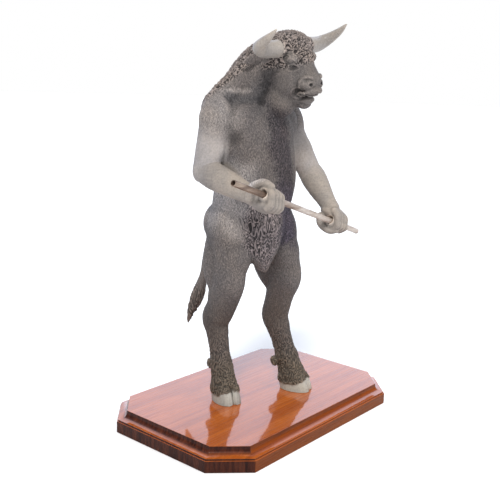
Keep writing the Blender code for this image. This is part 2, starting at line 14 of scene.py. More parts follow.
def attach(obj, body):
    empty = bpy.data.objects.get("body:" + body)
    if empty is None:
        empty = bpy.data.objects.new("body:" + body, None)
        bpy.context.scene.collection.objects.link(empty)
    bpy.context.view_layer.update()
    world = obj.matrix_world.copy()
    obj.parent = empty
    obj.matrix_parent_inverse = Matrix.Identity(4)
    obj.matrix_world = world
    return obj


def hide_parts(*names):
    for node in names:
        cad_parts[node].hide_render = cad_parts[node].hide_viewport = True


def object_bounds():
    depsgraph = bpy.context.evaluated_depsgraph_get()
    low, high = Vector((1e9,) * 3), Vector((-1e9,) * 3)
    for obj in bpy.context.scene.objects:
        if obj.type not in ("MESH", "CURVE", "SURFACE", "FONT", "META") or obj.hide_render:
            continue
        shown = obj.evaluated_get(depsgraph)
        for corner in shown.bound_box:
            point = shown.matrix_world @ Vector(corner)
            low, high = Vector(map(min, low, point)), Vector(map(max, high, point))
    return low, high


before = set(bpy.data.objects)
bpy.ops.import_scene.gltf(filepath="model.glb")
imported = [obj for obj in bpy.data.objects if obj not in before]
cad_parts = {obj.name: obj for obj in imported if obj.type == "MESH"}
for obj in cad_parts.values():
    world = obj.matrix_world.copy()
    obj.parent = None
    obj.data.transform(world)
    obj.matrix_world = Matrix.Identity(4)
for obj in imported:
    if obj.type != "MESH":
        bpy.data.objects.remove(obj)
cad_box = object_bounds()

# Camera, found from the plinth's corners in the photograph
CAMERA_PLACE = (-0.6408625, -0.5264579, 0.3573528)
CAMERA_RIGHT = (0.65081, -0.75866, 0.02972)
CAMERA_UP = (0.13466, 0.15386, 0.97887)
FOCAL_SHARE = 765.787 / 500
SENSOR_WIDTH = 36.0

# Plinth: a board with clipped corners and a moulded edge
PLINTH_LENGTH = 0.305
PLINTH_DEPTH = 0.1975
PLINTH_CORNER = 0.0343
BAND_HEIGHT = 0.0122
LEDGE_WIDTH = 0.0014
STEP_HEIGHT = 0.0018
STEP_LEDGE = 0.0010
COVE_WIDTH = 0.0080
COVE_HEIGHT = 0.0064
TOP_FILLET = 0.0022

# Tube held in the fists
TUBE_DIAMETER = 0.0062
TUBE_WALL = 0.0006
TUBE_LENGTH = 0.2255
TUBE_SLOPE_DEGREES = 18.1
TUBE_OVERHANG = 0.058
HOLE_PLAY = 0.0015

# Faces that touch in the real piece are set this far apart
REST_GAP = 0.0003

# Figure
FIGURE_HEIGHT = 0.406
SHARES_TALL = 406.0
FIGURE_X = -0.005
FIGURE_Y = 0.0
SHARE = FIGURE_HEIGHT / SHARES_TALL
SOLE_DEPTH = 4.0

# Head: turned a little towards the figure's right, with its left horn higher
HEAD_PLACE = (0.0, -36.5, 381.5)
HEAD_TURN_DEGREES = 1.0
HEAD_TILT_DEGREES = 7.2

PLINTH_HEIGHT = BAND_HEIGHT + STEP_HEIGHT + COVE_HEIGHT + TOP_FILLET
SOLE_LEVEL = PLINTH_HEIGHT + REST_GAP
HOLE_SIDES = 48


def add_object(name, mesh, material=None):
    thing = bpy.data.objects.new(name, mesh)
    bpy.context.scene.collection.objects.link(thing)
    if material is not None:
        mesh.materials.append(material)
    return thing


def mesh_from(bm, name):
    mesh = bpy.data.meshes.new(name)
    bm.to_mesh(mesh)
    bm.free()
    return mesh


def take_mesh(thing):
    """The mesh of an object with its modifiers applied. The object itself goes."""
    depsgraph = bpy.context.evaluated_depsgraph_get()
    depsgraph.update()
    mesh = bpy.data.meshes.new_from_object(thing.evaluated_get(depsgraph), depsgraph=depsgraph)
    bpy.data.objects.remove(thing, do_unlink=True)
    return mesh


# Figure: shapes that stand for its masses, given in shares

def in_world(point):
    """A place given in shares, measured from between the feet on the plinth's top."""
    x, y, z = point
    return Vector((FIGURE_X + x * SHARE, FIGURE_Y + y * SHARE, SOLE_LEVEL + z * SHARE))


def smooth_stations(stations, steps):
    """A smooth run through the stations, all of whose numbers are blended alike."""
    rows = np.array(stations, dtype=float)
    rows = np.vstack([2 * rows[0] - rows[1], rows, 2 * rows[-1] - rows[-2]])
    run = []
    for index in range(1, len(rows) - 2):
        before, start, end, after = rows[index - 1:index + 3]
        for step in range(steps):
            t = step / steps
            run.append(0.5 * (2 * start + (end - before) * t
                              + (2 * before - 5 * start + 4 * end - after) * t * t
                              + (3 * start - before - 3 * end + after) * t ** 3))
    run.append(rows[-2])
    return run


def add_ring(bm, centre, across, along, half_width, half_depth, sides):
    ring = []
    for side in range(sides):
        angle = 2 * math.pi * side / sides
        place = (centre + across * (half_width * math.cos(angle))
                 + along * (half_depth * math.sin(angle)))
        ring.append(bm.verts.new(in_world(place)))
    return ring


def bridge(bm, rings):
    """Four-sided faces from each ring to the next."""
    for lower, upper in zip(rings, rings[1:]):
        for side in range(len(lower)):
            after = (side + 1) % len(lower)
            bm.faces.new((lower[side], lower[after], upper[after], upper[side]))


def close_ends(bm, rings):
    bm.faces.new(list(reversed(rings[0])))
    bm.faces.new(rings[-1])


LEAST_RADIUS = 0.2
ROUND_END = ((0.4, 0.8), (0.7, 0.35))


def add_limb(bm, stations, across=(1, 0, 0), steps=4, sides=20):
    """A closed form with oval sections. A station is x, y, z, half-width and half-depth."""
    run = smooth_stations(stations, steps)
    last = len(run) - 1
    hint = Vector(across).normalized()
    rings = []
    for index, row in enumerate(run):
        tangent = Vector(run[min(index + 1, last)][:3] - run[max(index - 1, 0)][:3]).normalized()
        wide = (hint - tangent * hint.dot(tangent)).normalized()
        deep = tangent.cross(wide)
        width = max(row[3], LEAST_RADIUS)
        depth = max(row[4], LEAST_RADIUS)
        sections = [(0, 1)]
        if index == 0:
            sections = [(-lift, shrink) for lift, shrink in reversed(ROUND_END)] + sections
        if index == last:
            sections += ROUND_END
        for lift, shrink in sections:
            centre = Vector(row[:3]) + tangent * (min(width, depth) * lift)
            rings.append(add_ring(bm, centre, wide, deep, width * shrink, depth * shrink, sides))
    bridge(bm, rings)
    close_ends(bm, rings)


def add_lump(bm, centre, radii, lean=(0, 0, 0)):
    """An ellipsoid. The lean gives its turns about X, Y and Z in degrees."""
    turn = Matrix.Identity(4)
    for degrees, axis in zip(lean, "XYZ"):
        turn = Matrix.Rotation(math.radians(degrees), 4, axis) @ turn
    size = Matrix.Diagonal((*(radius * SHARE for radius in radii), 1.0))
    place = Matrix.Translation(in_world(centre))
    bmesh.ops.create_uvsphere(bm, u_segments=20, v_segments=12, radius=1.0,
                              matrix=place @ turn @ size)


def mix(start, end, share):
    return tuple(a + (b - a) * share for a, b in zip(start, end))


def stations_between(start, end, sections):
    """Stations at shares of the way from one place to another."""
    return [(*mix(start, end, share), *sizes) for share, *sizes in sections]


def add_muscle(bm, start, end, half_width, half_depth, across=(1, 0, 0), swell=0.5):
    """A belly of muscle between two points, thickest at the swell and thin at the ends."""
    rows = []
    for share in (0.0, 0.15, 0.35, 0.55, 0.75, 0.9, 1.0):
        bulge = math.sin(math.pi * share ** (math.log(0.5) / math.log(swell))) ** 0.75
        thick = 0.25 + 0.75 * bulge
        rows.append((*mix(start, end, share), half_width * thick, half_depth * thick))
    add_limb(bm, rows, across, steps=2)


# Body

def add_torso(bm):
    add_limb(bm, [
        (0, 13, 176, 30, 22), (0, 13, 190, 43, 32), (-1.5, 13, 206, 46.5, 35),
        (0, 10, 224, 48.5, 36.5), (0.5, 8, 242, 49.5, 38), (-1, 8.5, 260, 49, 38.5),
        (-3, 11, 278, 50, 39), (-3, 13, 296, 53, 39), (-3, 15, 312, 50, 36), (-3, 17, 328, 40, 30),
    ], across=(1, -0.12, 0), sides=28)
    for side in (-1, 1):
        # chest
        add_lump(bm, (side * 21 - 4, -5 - side * 2, 303), (27, 14, 23), (0, side * 12, -6))
        # back of the armpit
        add_lump(bm, (side * 38 - 3, 24 - side * 4, 285), (14, 18, 34), (0, side * 9, 0))
        # shoulder blade
        add_lump(bm, (side * 30 - 3, 33 - side * 4, 308), (20, 12, 26), (-6, side * 10, 0))
        # flank
        add_lump(bm, (side * 35, 11, 214), (12, 25, 19))
        # buttock
        add_lump(bm, (side * 22, 33, 193), (24, 21, 25), (0, side * 6, 0))
    # belly
    add_lump(bm, (1, -9.5, 241), (36, 19.5, 35))
    # breastbone
    add_lump(bm, (-4, -16, 312), (18, 12, 24), (12, 0, 0))


def add_neck(bm):
    add_limb(bm, [
        (-3, 21, 306, 45, 30), (-3, 16.5, 326, 41, 31), (-2, 8.5, 343, 34, 31),
        (-1, -1.5, 357, 29, 29), (0, -12, 367, 26, 25), (0, -20, 372, 24, 21),
    ], sides=28)
    # hump over the shoulders
    add_lump(bm, (-2, 21.5, 332.5), (26, 21.2, 21.6), (-30, 0, 0))
    # throat and dewlap
    add_lump(bm, (-2, -20, 330), (19, 24, 22), (20, 0, 0))
    for side in (-1, 1):
        # slope of muscle from the neck to the shoulder
        add_limb(bm, [
            (side * 18 - 2, 7, 349, 16, 17.5), (side * 34 - 3, 13.5 - side * 4, 332, 14.2, 15.2),
            (side * 48 - 3, 15 - side * 6, 319.5, 12.4, 14.2),
        ], across=(0, 1, 0))


# Head: points are measured from the middle of the line between the horns' roots

def head_frame():
    left = Vector((1.0, -math.tan(math.radians(HEAD_TURN_DEGREES)),
                   math.tan(math.radians(HEAD_TILT_DEGREES)))).normalized()
    back = Vector((0, 0, 1)).cross(left).normalized()
    return left, back, left.cross(back)


def on_head(x, y, z):
    left, back, upward = head_frame()
    return tuple(Vector(HEAD_PLACE) + left * x + back * y + upward * z)


def head_lump(bm, centre, radii, lean=(0, 0, 0)):
    tilted = (lean[0], lean[1] - HEAD_TILT_DEGREES, lean[2] - HEAD_TURN_DEGREES)
    add_lump(bm, on_head(*centre), radii, tilted)


def head_limb(bm, stations, across=(1, 0, 0), steps=4, sides=20):
    left, back, upward = head_frame()
    wide = left * across[0] + back * across[1] + upward * across[2]
    rows = [(*on_head(*row[:3]), *row[3:]) for row in stations]
    add_limb(bm, rows, wide, steps, sides)


def on_half(stations, side):
    """Stations of the head's left half, or their mirror image on its right half."""
    return [(side * x, *others) for x, *others in stations]


def add_head_masses(bm):
    # skull and poll
    head_lump(bm, (0, 10, -13), (24, 26, 23))
    head_lump(bm, (-1, 6, 2.6), (24.5, 19, 12.5))
    # face, from the brow down to the muzzle
    head_limb(bm, [
        (0, 2, -4, 22, 18), (0, -1, -15, 19.5, 17), (0, -9, -25, 16.5, 15),
        (0, -17, -33, 14.5, 12.5), (0, -21.5, -38, 13.5, 10.5),
    ], sides=24)
    # jaw
    head_limb(bm, [
        (0, 15, -28, 21, 16), (0, 6, -42, 19, 16), (0, -4, -49, 15, 12.5), (0, -10.5, -54, 11, 9.5),
    ], sides=24)
    for side in (-1, 1):
        # cheek and brow
        head_lump(bm, (side * 14.5, 3, -34), (9.5, 18, 18), (10, 0, 0))
        head_lump(bm, (side * 14.5, -10.5, -11.5), (6.5, 7.0, 5.5), (20, 0, 0))


def add_muzzle(bm):
    # nose pad, upper lip, lower lip and chin
    head_lump(bm, (0, -21.5, -36.5), (11.5, 8.0, 8.0), (-20, 0, 0))
    head_lump(bm, (0, -24, -45.3), (11.5, 8.0, 5), (-10, 0, 0))
    head_lump(bm, (0, -15.5, -54), (9.5, 7.0, 4.5))
    head_lump(bm, (0, -12, -57.7), (8.5, 7.0, 5.5))
    for side in (-1, 1):
        # wing of the nostril
        head_lump(bm, (side * 8.5, -23, -38), (4.8, 6.5, 5.5))
        # ridge that arches over the nostril
        head_limb(bm, on_half(((13, -16.5, -40, 1.6, 1.6), (13.8, -18.5, -34, 1.8, 1.8),
                               (11.5, -23.5, -30.2, 1.8, 1.8), (7, -28.5, -31, 1.6, 1.6)), side))
        # corner of the mouth
        head_lump(bm, (side * 11.2, -18, -47), (2.6, 5.5, 2.6))


HORN_STATIONS = ((17, 0, -1, 9.0, 9.0), (30, 1, -1.5, 8.6, 8.6), (43, 2, -1.2, 8.0, 8.0),
                 (51.5, 0, 1.0, 7.1, 7.1), (56, -7, 5, 5.6, 5.6), (57.5, -17.5, 11, 3.6, 3.6),
                 (57, -26.5, 17.5, 1.0, 1.0))
EAR_STATIONS = ((21, 14, -8, 4.5, 3.2), (28, 21, -9.5, 6.0, 2.2), (36, 27, -11.5, 5.0, 1.7),
                (43, 31, -13.5, 1.2, 0.9))


def add_horn(bm, side):
    head_limb(bm, on_half(HORN_STATIONS, side), across=(0, 0, 1))


def add_ear(bm, side):
    head_limb(bm, on_half(EAR_STATIONS, side), across=(0, -0.3, 1), sides=14)


def add_eye(bm, side):
    head_lump(bm, (side * 14.2, -10.5, -19.0), (3.2, 3.2, 2.8))
    # upper and lower lid
    for lift, depth in ((2.8, 1.4), (-2.6, 1.1)):
        head_limb(bm, [
            (side * 17.5, -6, -19 + lift * 0.3, depth * 0.8, depth * 0.8),
            (side * 15.8, -11.5, -19 + lift, depth, depth),
            (side * 11.5, -15, -19.5 + lift * 0.3, depth * 0.8, depth * 0.8),
        ])


# Arms

RIGHT_SHOULDER = (-48.5, 18.5, 313)
RIGHT_ELBOW = (-65, 22, 252.8)
LEFT_SHOULDER = (43.5, 12.5, 311)
LEFT_ELBOW = (58.3, -21.5, 250.8)
RIGHT_FIST_X = -57.0
LEFT_FIST_X = 58.0
FISTS_Y = -60.0
RIGHT_FIST_Z = 233.8
WRIST_SHARE = 0.72


def tube_direction():
    slope = math.radians(TUBE_SLOPE_DEGREES)
    return Vector((math.cos(slope), 0, -math.sin(slope)))


def fist_centre(side):
    """Where the tube's axis crosses the middle of a fist, in shares."""
    across = (LEFT_FIST_X if side > 0 else RIGHT_FIST_X) - RIGHT_FIST_X
    drop = across * math.tan(math.radians(TUBE_SLOPE_DEGREES))
    return Vector((RIGHT_FIST_X + across, FISTS_Y, RIGHT_FIST_Z - drop))


def add_arm(bm, side):
    shoulder = RIGHT_SHOULDER if side < 0 else LEFT_SHOULDER
    elbow = RIGHT_ELBOW if side < 0 else LEFT_ELBOW
    palm = fist_centre(side) + Vector((0, 0, side * 7.0))
    add_limb(bm, stations_between(shoulder, elbow, (
        (0.0, 17.5, 18.5), (0.25, 17, 17.5), (0.5, 15, 16.5), (0.75, 13.5, 15), (1.0, 12.5, 13))))
    # shoulder cap, front and back of the upper arm
    add_muscle(bm, (shoulder[0] - side * 2, shoulder[1], shoulder[2] + 16),
               mix(shoulder, elbow, 0.62), 17, 19, swell=0.4)
    add_lump(bm, (shoulder[0] + side * 3.5, shoulder[1], shoulder[2] - 2), (14, 18, 22))
    add_muscle(bm, mix(shoulder, elbow, 0.12), mix(shoulder, elbow, 1.02), 12, 17.5, swell=0.55)
    # point of the elbow
    add_lump(bm, (elbow[0], elbow[1] + 5, elbow[2] - 4), (8.5, 8.5, 8.5))
    forearm = Vector(palm) - Vector(elbow)
    add_limb(bm, stations_between(elbow, palm, (
        (-0.05, 11.5, 12.5), (0.15, 13.5, 14.5), (0.35, 12.5, 13.5), (0.55, 10.5, 11.5),
        (WRIST_SHARE, 9.6, 9.8), (0.86, 10.5, 9.8))), across=forearm.cross(Vector((0, 0, 1))))


# Hands: a hand closes round the tube, its back below it on the right and above it on the left

FINGER_THICKNESS = 3.4
FINGER_PITCH = 5.7


def hole_radius_in_shares():
    return (TUBE_DIAMETER / 2 + HOLE_PLAY) / SHARE


def grip_point(side, along, radius, degrees):
    """A point round the tube. Zero degrees is forward, and 90 is towards the fingertips."""
    angle = math.radians(degrees)
    rising = -side
    offset = Vector((0, -math.cos(angle) * radius, rising * math.sin(angle) * radius))
    return fist_centre(side) + tube_direction() * along + offset


def add_finger(bm, side, order):
    """Order 0 is the first finger, next to the thumb, on the side that faces the tube's near end."""
    along = (order - 1.5) * FINGER_PITCH
    thick = FINGER_THICKNESS * (1.04, 1.0, 0.97, 0.88)[order]
    reach = hole_radius_in_shares() + thick * 0.8
    knuckle = reach + 2.0
    rows = []
    bends = ((-78, knuckle + 3.0, 1.15), (-45, knuckle + 1.6, 1.15), (-12, reach + 1.0, 1.0),
             (20, reach + 1.6, 1.08), (60, reach + 0.3, 0.95), (95, reach + 0.8, 0.98),
             (135, reach, 0.85))
    for degrees, radius, swell in bends:
        point = grip_point(side, along, radius, degrees)
        rows.append((*point, thick * swell, thick * swell * 0.95))
    add_limb(bm, rows, tube_direction(), steps=3, sides=12)


def add_hand(bm, side):
    centre = fist_centre(side)
    palm_height = side * (hole_radius_in_shares() + 5.2 + side * 0.9)
    back = Vector((0, 10, palm_height))
    turn = TUBE_SLOPE_DEGREES
    # palm, and the heel that closes the back of the grip
    add_lump(bm, tuple(centre + back + Vector((0, -6, 0))), (13.5, 14, 7.5), (side * 8, turn, 0))
    add_lump(bm, tuple(centre + Vector((0, 9.5, side * 1.0))), (12, 7.5, 9.5), (0, turn, 0))
    # core of the fist, which the hole is cut through
    axis = tube_direction()
    add_limb(bm, [(*(centre - axis * 8), 7.6, 7.6), (*(centre + axis * 8), 7.6, 7.6)],
             across=(0, 1, 0), steps=2)
    for order in range(4):
        add_finger(bm, side, order)
    add_thumb(bm, side)


def add_thumb(bm, side):
    reach = hole_radius_in_shares() + 5.0
    rows = []
    tuck = 1.0 if side < 0 else 0.35
    bends = ((-12.0, 200, 8.0, 5.4), (-13.5, 160, 4.2, 5.0), (-12.5, 125, 2.0, 4.6),
             (-9.5, 90, 2.6, 4.4), (-6.0, 55, 1.8, 3.9))
    for along, degrees, full_lift, thick in bends:
        lift = full_lift * tuck
        rows.append((*grip_point(side, along, reach + lift, degrees), thick, thick * 0.9))
    add_limb(bm, rows, tube_direction(), steps=4, sides=14)


# Legs

LEGS = {
    -1: {"hip": (-27, 17.5, 196), "knee": (-37.5, 10.5, 132), "hock": (-35.5, 29, 87),
         "fetlock": (-39, 16.5, 41), "hoof": (-42.5, 4, 0), "bow": (0.5, -1.5, 0),
         "calf": 1.0, "dewclaw": 36},
    1: {"hip": (23.5, 7, 196), "knee": (31, -13.5, 131), "hock": (34, 0.5, 83),
        "fetlock": (39, -14, 39), "hoof": (41.5, -29, 0), "bow": (0, 0.5, 0),
        "calf": 0.9, "dewclaw": 30},
}
TOE_OUT_DEGREES = 17.0
HOOF_DEPTH = 17.3
CLEFT_WIDTH = 2.0
CLEFT_HEIGHT = 14.0
CLEFT_DEPTH = 7.5
CLEFT_TAPER = 0.6
CLEFT_LEAN = 0.35


def add_leg(bm, side):
    leg = LEGS[side]
    hip, knee, hock, fetlock = leg["hip"], leg["knee"], leg["hock"], leg["fetlock"]
    across = (1, side * 0.2, 0)
    bow, calf = Vector(leg["bow"]), leg["calf"]
    coronet = mix(fetlock, leg["hoof"], 0.62)
    add_limb(bm, [
        *stations_between(hip, knee, ((-0.12, 24, 28), (0.2, 25, 30), (0.5, 19, 25.5), (0.78, 17.2, 23.2))),
        (*(Vector(knee) + bow * 0.5), 16.3, 20.3),
        (*(Vector(mix(knee, hock, 0.35)) + bow), 15.6 * calf, 18.8 * calf),
        (*(Vector(mix(knee, hock, 0.7)) + bow), 14.4 * calf, 17.6 * calf),
        (*hock, 14.2 * calf, 17.8 * calf),
        *stations_between(hock, fetlock, ((0.25, 11.8, 14.4), (0.6, 10.6, 12.2), (0.85, 10.4, 12))),
        (*fetlock, 11.8, 13.4), (*mix(fetlock, coronet, 0.5), 12, 14), (*coronet, 13.4, 16.4),
    ], across, steps=3, sides=24)
    # front and back of the thigh
    front = Vector((0, -9, 0))
    add_muscle(bm, Vector(mix(hip, knee, 0.0)) + front, Vector(knee) + front * 0.7,
               18.8, 20, across, 0.5)
    add_muscle(bm, Vector(hip) - front * 1.1, Vector(mix(knee, hock, 0.4)) - front * 0.9,
               20, 19.3, across, 0.5)
    # kneecap, calf and point of the hock
    add_lump(bm, Vector(knee) + Vector((0, -9, 1)), (11, 9, 11))
    add_muscle(bm, Vector(knee) + Vector((0, 7, 4)) + bow, Vector(hock) + Vector((0, 6.5, 8)),
               12.5 * calf, 10.5 * calf, across, 0.35)
    add_lump(bm, Vector(hock) + Vector((0, 9.5, 5)), (7, 7, 10), (-12, 0, 0))
    # swelling of the fetlock
    add_lump(bm, Vector(fetlock) + Vector((0, 1, 0)), (11.8, 12.8, 9))


def toe_frame(side):
    """Directions sideways and forward for a foot."""
    turn = math.radians(TOE_OUT_DEGREES) * side
    forward = Vector((math.sin(turn), -math.cos(turn), 0))
    sideways = Vector((math.cos(turn), math.sin(turn), 0))
    return sideways, forward


def add_hoof(bm, side):
    """Two claws that meet in front, and two dewclaws behind the fetlock."""
    leg = LEGS[side]
    sideways, forward = toe_frame(side)
    ground = Vector(leg["hoof"])
    coronet = Vector(mix(leg["fetlock"], leg["hoof"], 0.62))
    for half in (-1, 1):
        top = coronet + sideways * (half * 4.4) - forward * 1.0
        foot = ground + sideways * (half * 4.8)
        below = Vector((0, 0, -SOLE_DEPTH))
        add_limb(bm, [
            (*(top + Vector((0, 0, 6))), 8.2, 12.5), (*(top + forward * 0.6), 9.2, 15.2),
            (*mix(top + forward * 0.6, foot, 0.5), 9.6, 16.8), (*foot, 9.9, HOOF_DEPTH),
            (*(foot + below), 10.1, 17.5),
        ], sideways, steps=3, sides=18)
        dewclaw = Vector(leg["fetlock"]) + sideways * (half * 6.5) - forward * 11.5
        dewclaw.z = leg["dewclaw"]
        add_lump(bm, dewclaw, (3.6, 4.8, 5.8), (-25, 0, 0))


def add_cleft(bm, side):
    """The upright slit between the two claws, open at the front of the foot."""
    sideways, forward = toe_frame(side)
    inner = Vector(LEGS[side]["hoof"]) + forward * (HOOF_DEPTH - CLEFT_DEPTH)
    plan = ((0, -CLEFT_TAPER), (0, CLEFT_TAPER), (2 * CLEFT_DEPTH, 1), (2 * CLEFT_DEPTH, -1))
    rings = []
    for height in (-2 * SOLE_DEPTH, CLEFT_HEIGHT):
        ring = []
        for reach, breadth in plan:
            place = inner + forward * reach + sideways * (breadth / 2 * CLEFT_WIDTH)
            place.z = height - (CLEFT_LEAN * (height > 0) * reach)
            ring.append(bm.verts.new(in_world(place)))
        rings.append(ring)
    close_ends(bm, rings)
    bridge(bm, rings)


# Tail and tufts

TAIL_STATIONS = ((0, 40, 214, 7, 7), (-1, 56, 206, 5.8, 5.8), (-2.5, 66, 188, 4.8, 4.8),
                 (-4, 71.5, 164, 4.3, 4.3), (-7, 73.5, 143, 4.2, 4.2), (-10, 73, 126, 5.0, 4.6),
                 (-13, 75.5, 110, 7.8, 6.2), (-16, 79, 95, 8.4, 6.6), (-20, 83.5, 79, 5.0, 4.2),
                 (-22.5, 86.5, 64, 0.6, 0.6))


def add_tail(bm):
    add_limb(bm, TAIL_STATIONS, sides=16)


def add_groin_tuft(bm):
    add_limb(bm, [
        (-3, -14, 216, 24, 12), (-5, -16.5, 194, 24, 13), (-8, -15, 172, 21, 12),
        (-7, -13, 157, 15.5, 9), (-2, -11.5, 144, 4, 4),
    ], sides=18)


def shape_features(bm):
    """The forms that keep their edges: horns, ears, lids, muzzle, hands and hooves."""
    add_muzzle(bm)
    for side in (-1, 1):
        add_horn(bm, side)
        add_ear(bm, side)
        add_eye(bm, side)
        add_hand(bm, side)
        add_hoof(bm, side)


def cut_with(thing, cutter):
    cut = thing.modifiers.new("cut", "BOOLEAN")
    cut.operation = "DIFFERENCE"
    cut.solver = "MANIFOLD"
    cut.object = cutter


def add_cylinder(bm, start, end, radius, sides):
    """A closed cylinder between two points in metres."""
    axis = end - start
    turn = axis.to_track_quat("Z", "Y").to_matrix().to_4x4()
    place = Matrix.Translation((start + end) / 2) @ turn
    bmesh.ops.create_cone(bm, cap_ends=True, segments=sides, radius1=radius, radius2=radius,
                          depth=axis.length, matrix=place)


def add_ground(bm):
    """A slab whose top is the level of the soles."""
    size = Matrix.Diagonal((PLINTH_LENGTH, PLINTH_DEPTH, 10 * SOLE_DEPTH * SHARE, 1.0))
    place = Matrix.Translation((0, 0, SOLE_LEVEL - 5 * SOLE_DEPTH * SHARE))
    bmesh.ops.create_cube(bm, size=1.0, matrix=place @ size)


def add_clefts(bm):
    for side in (-1, 1):
        add_cleft(bm, side)
    bmesh.ops.recalc_face_normals(bm, faces=bm.faces)


def add_hole(bm):
    """The hole through both fists, on whose lower side the tube rests."""
    start, end = tube_ends()
    lift = Vector((0, 0, HOLE_PLAY - REST_GAP))
    add_cylinder(bm, start + lift, end + lift, TUBE_DIAMETER / 2 + HOLE_PLAY, HOLE_SIDES)


def make_cutters():
    forms = {"ground_cutter": add_ground, "cleft_cutter": add_clefts, "hole_cutter": add_hole}
    cutters = []
    for name, add_form in forms.items():
        bm = bmesh.new()
        add_form(bm)
        cutters.append(add_object(name, mesh_from(bm, name)))
    return cutters


def tube_ends():
    """The ends of the tube's axis, from its end at the figure's right to the other."""
    start = in_world(fist_centre(-1)) - tube_direction() * TUBE_OVERHANG
    return start, start + tube_direction() * TUBE_LENGTH


# Noise, worked out for every vertex at once

def lattice_noise(places, seed):
    """Smooth noise between about -1 and 1, with one swell to a unit."""
    cell = np.floor(places).astype(np.int64)
    local = places - cell
    fade = local ** 3 * (local * (local * 6 - 15) + 10)
    total = np.zeros(len(places))
    for corner in itertools.product((0, 1), repeat=3):
        node = cell + corner
        code = node[:, 0] * 73856093 ^ node[:, 1] * 19349663 ^ node[:, 2] * 83492791 ^ seed * 7919
        code = ((code ^ (code >> 13)) * 1274126177) & 0x3fffffff
        code = ((code ^ (code >> 16)) * 668265263) & 0x3fffffff
        weight = np.ones(len(places))
        slope = np.zeros(len(places))
        for axis in range(3):
            share = fade[:, axis] if corner[axis] else 1 - fade[:, axis]
            weight *= share
            lean = ((code >> (10 * axis)) & 0x3ff) / 511.5 - 1
            slope += lean * (local[:, axis] - corner[axis])
        total += weight * slope
    return total * 1.6


TURNS = 1.5


def squiggles(places, width, length, seed, wander=0.9):
    """Winding ridges like locks of hair, from -1 in the partings to 1 on the crests."""
    scaled = places / np.array([width, width, length])
    bend = np.stack([lattice_noise(scaled * 0.6 + 9 * axis, seed + axis) for axis in range(3)], axis=1)
    wound = scaled + bend * wander
    ridge = 0.8 * np.cos(TURNS * 2 * math.pi * lattice_noise(wound, seed + 5))
    return np.clip(ridge + 0.7 * lattice_noise(wound * 1.7, seed + 6), -1, 1)


def ease(low, high, value):
    share = np.clip((value - low) / (high - low), 0, 1)
    return share * share * (3 - 2 * share)


def distance_to_place(places, centre, size=(1, 1, 1)):
    """Distance to a place, in shares of a size along each axis."""
    return np.linalg.norm((places - np.array(centre)) / np.array(size), axis=1)


def distance_to_line(places, start, end):
    start = np.array(start, dtype=float)
    line = np.array(end, dtype=float) - start
    share = np.clip((places - start) @ line / (line @ line), 0, 1)
    return np.linalg.norm(places - start - share[:, None] * line, axis=1), share


def distance_to_chain(places, chain):
    """Distance to a run of points, and how far along it the nearest place is, from 0 to 1."""
    nearest = np.full(len(places), 1e9)
    along = np.zeros(len(places))
    for index, (start, end) in enumerate(zip(chain, chain[1:])):
        distance, share = distance_to_line(places, start[:3], end[:3])
        closer = distance < nearest
        nearest[closer] = distance[closer]
        along[closer] = (index + share[closer]) / (len(chain) - 1)
    return nearest, along


# Regions of the figure, each a weight from 0 to 1 for every vertex

def in_shares(places):
    base = np.array([FIGURE_X, FIGURE_Y, SOLE_LEVEL])
    return (places - base) / SHARE


def head_places(places):
    """Places in the head's own directions: left, back and up from between the horns."""
    return (places - np.array(HEAD_PLACE)) @ np.array([tuple(axis) for axis in head_frame()]).T


def mirrored(places):
    """The same places with both halves of the head laid on its left half."""
    return places * np.where(places[:, :1] < 0, np.array([-1.0, 1.0, 1.0]), 1.0)


EYE_PLACE = (15.8, -12.0, -20.6)
EYE_SIZE = (4.6, 4.2, 2.4)
NOSTRIL_PLACE = (9.0, -28.8, -37.8)
NOSTRIL_SIZE = (2.4, 3.4, 1.9)
NOSTRIL_FOLD_PLACE = (12.3, -20.5, -37.0)
RIDGE_LINE = ((12.8, -24, -29.7), (9.5, -28, -31.5), (5.5, -30, -34))
BROW_PLACE = (19.5, -11.0, -11.5)
MOUTH_LINE = ((0, -30.5, -48.5), (5.5, -27.5, -49), (11.5, -22.5, -48), (14.5, -15, -47))
STRIPE_LINE = ((-8, -34, 322), (-2, -27, 296), (-3, -28, 276), (3, -30, 255), (9, -29, 233),
               (19, -24, 208), (16, -25, 186))
FOLD_LINE = ((-53, 13, 335), (-44, 5.5, 335), (-34, -3, 334.5), (-26, -11.5, 336))
FOLD_SHADE_LINE = ((-48, 7, 327), (-37, 0, 327), (-25, -11, 327))
JAW_SHADE_LINE = ((-25, -18, 368), (-24, -19, 364), (-22, -20, 356), (-21, -19, 346), (-20, -20, 335),
                 (-21, -15, 326))
NECK_SHADE_LINE = ((-24, -14, 344), (-26, -10, 331), (-24, -16, 318), (-14, -28, 306))
ARMPIT_PLACE = (-48, -4, 288)


def find_regions(places, normals):
    """The regions' weights, and the places in the head's directions with its halves as one."""
    head = head_places(places)
    half = mirrored(head)
    area = SimpleNamespace()
    find_head_regions(area, head, half)
    find_mane(area, places, normals)
    find_arm_regions(area, places)
    find_body_regions(area, places)
    find_marks(area, places)
    find_tail_and_feet(area, places)
    area.fur = (1 - area.horn) * (1 - area.arm) * (1 - area.fist) * (1 - area.hoof)
    return area, half


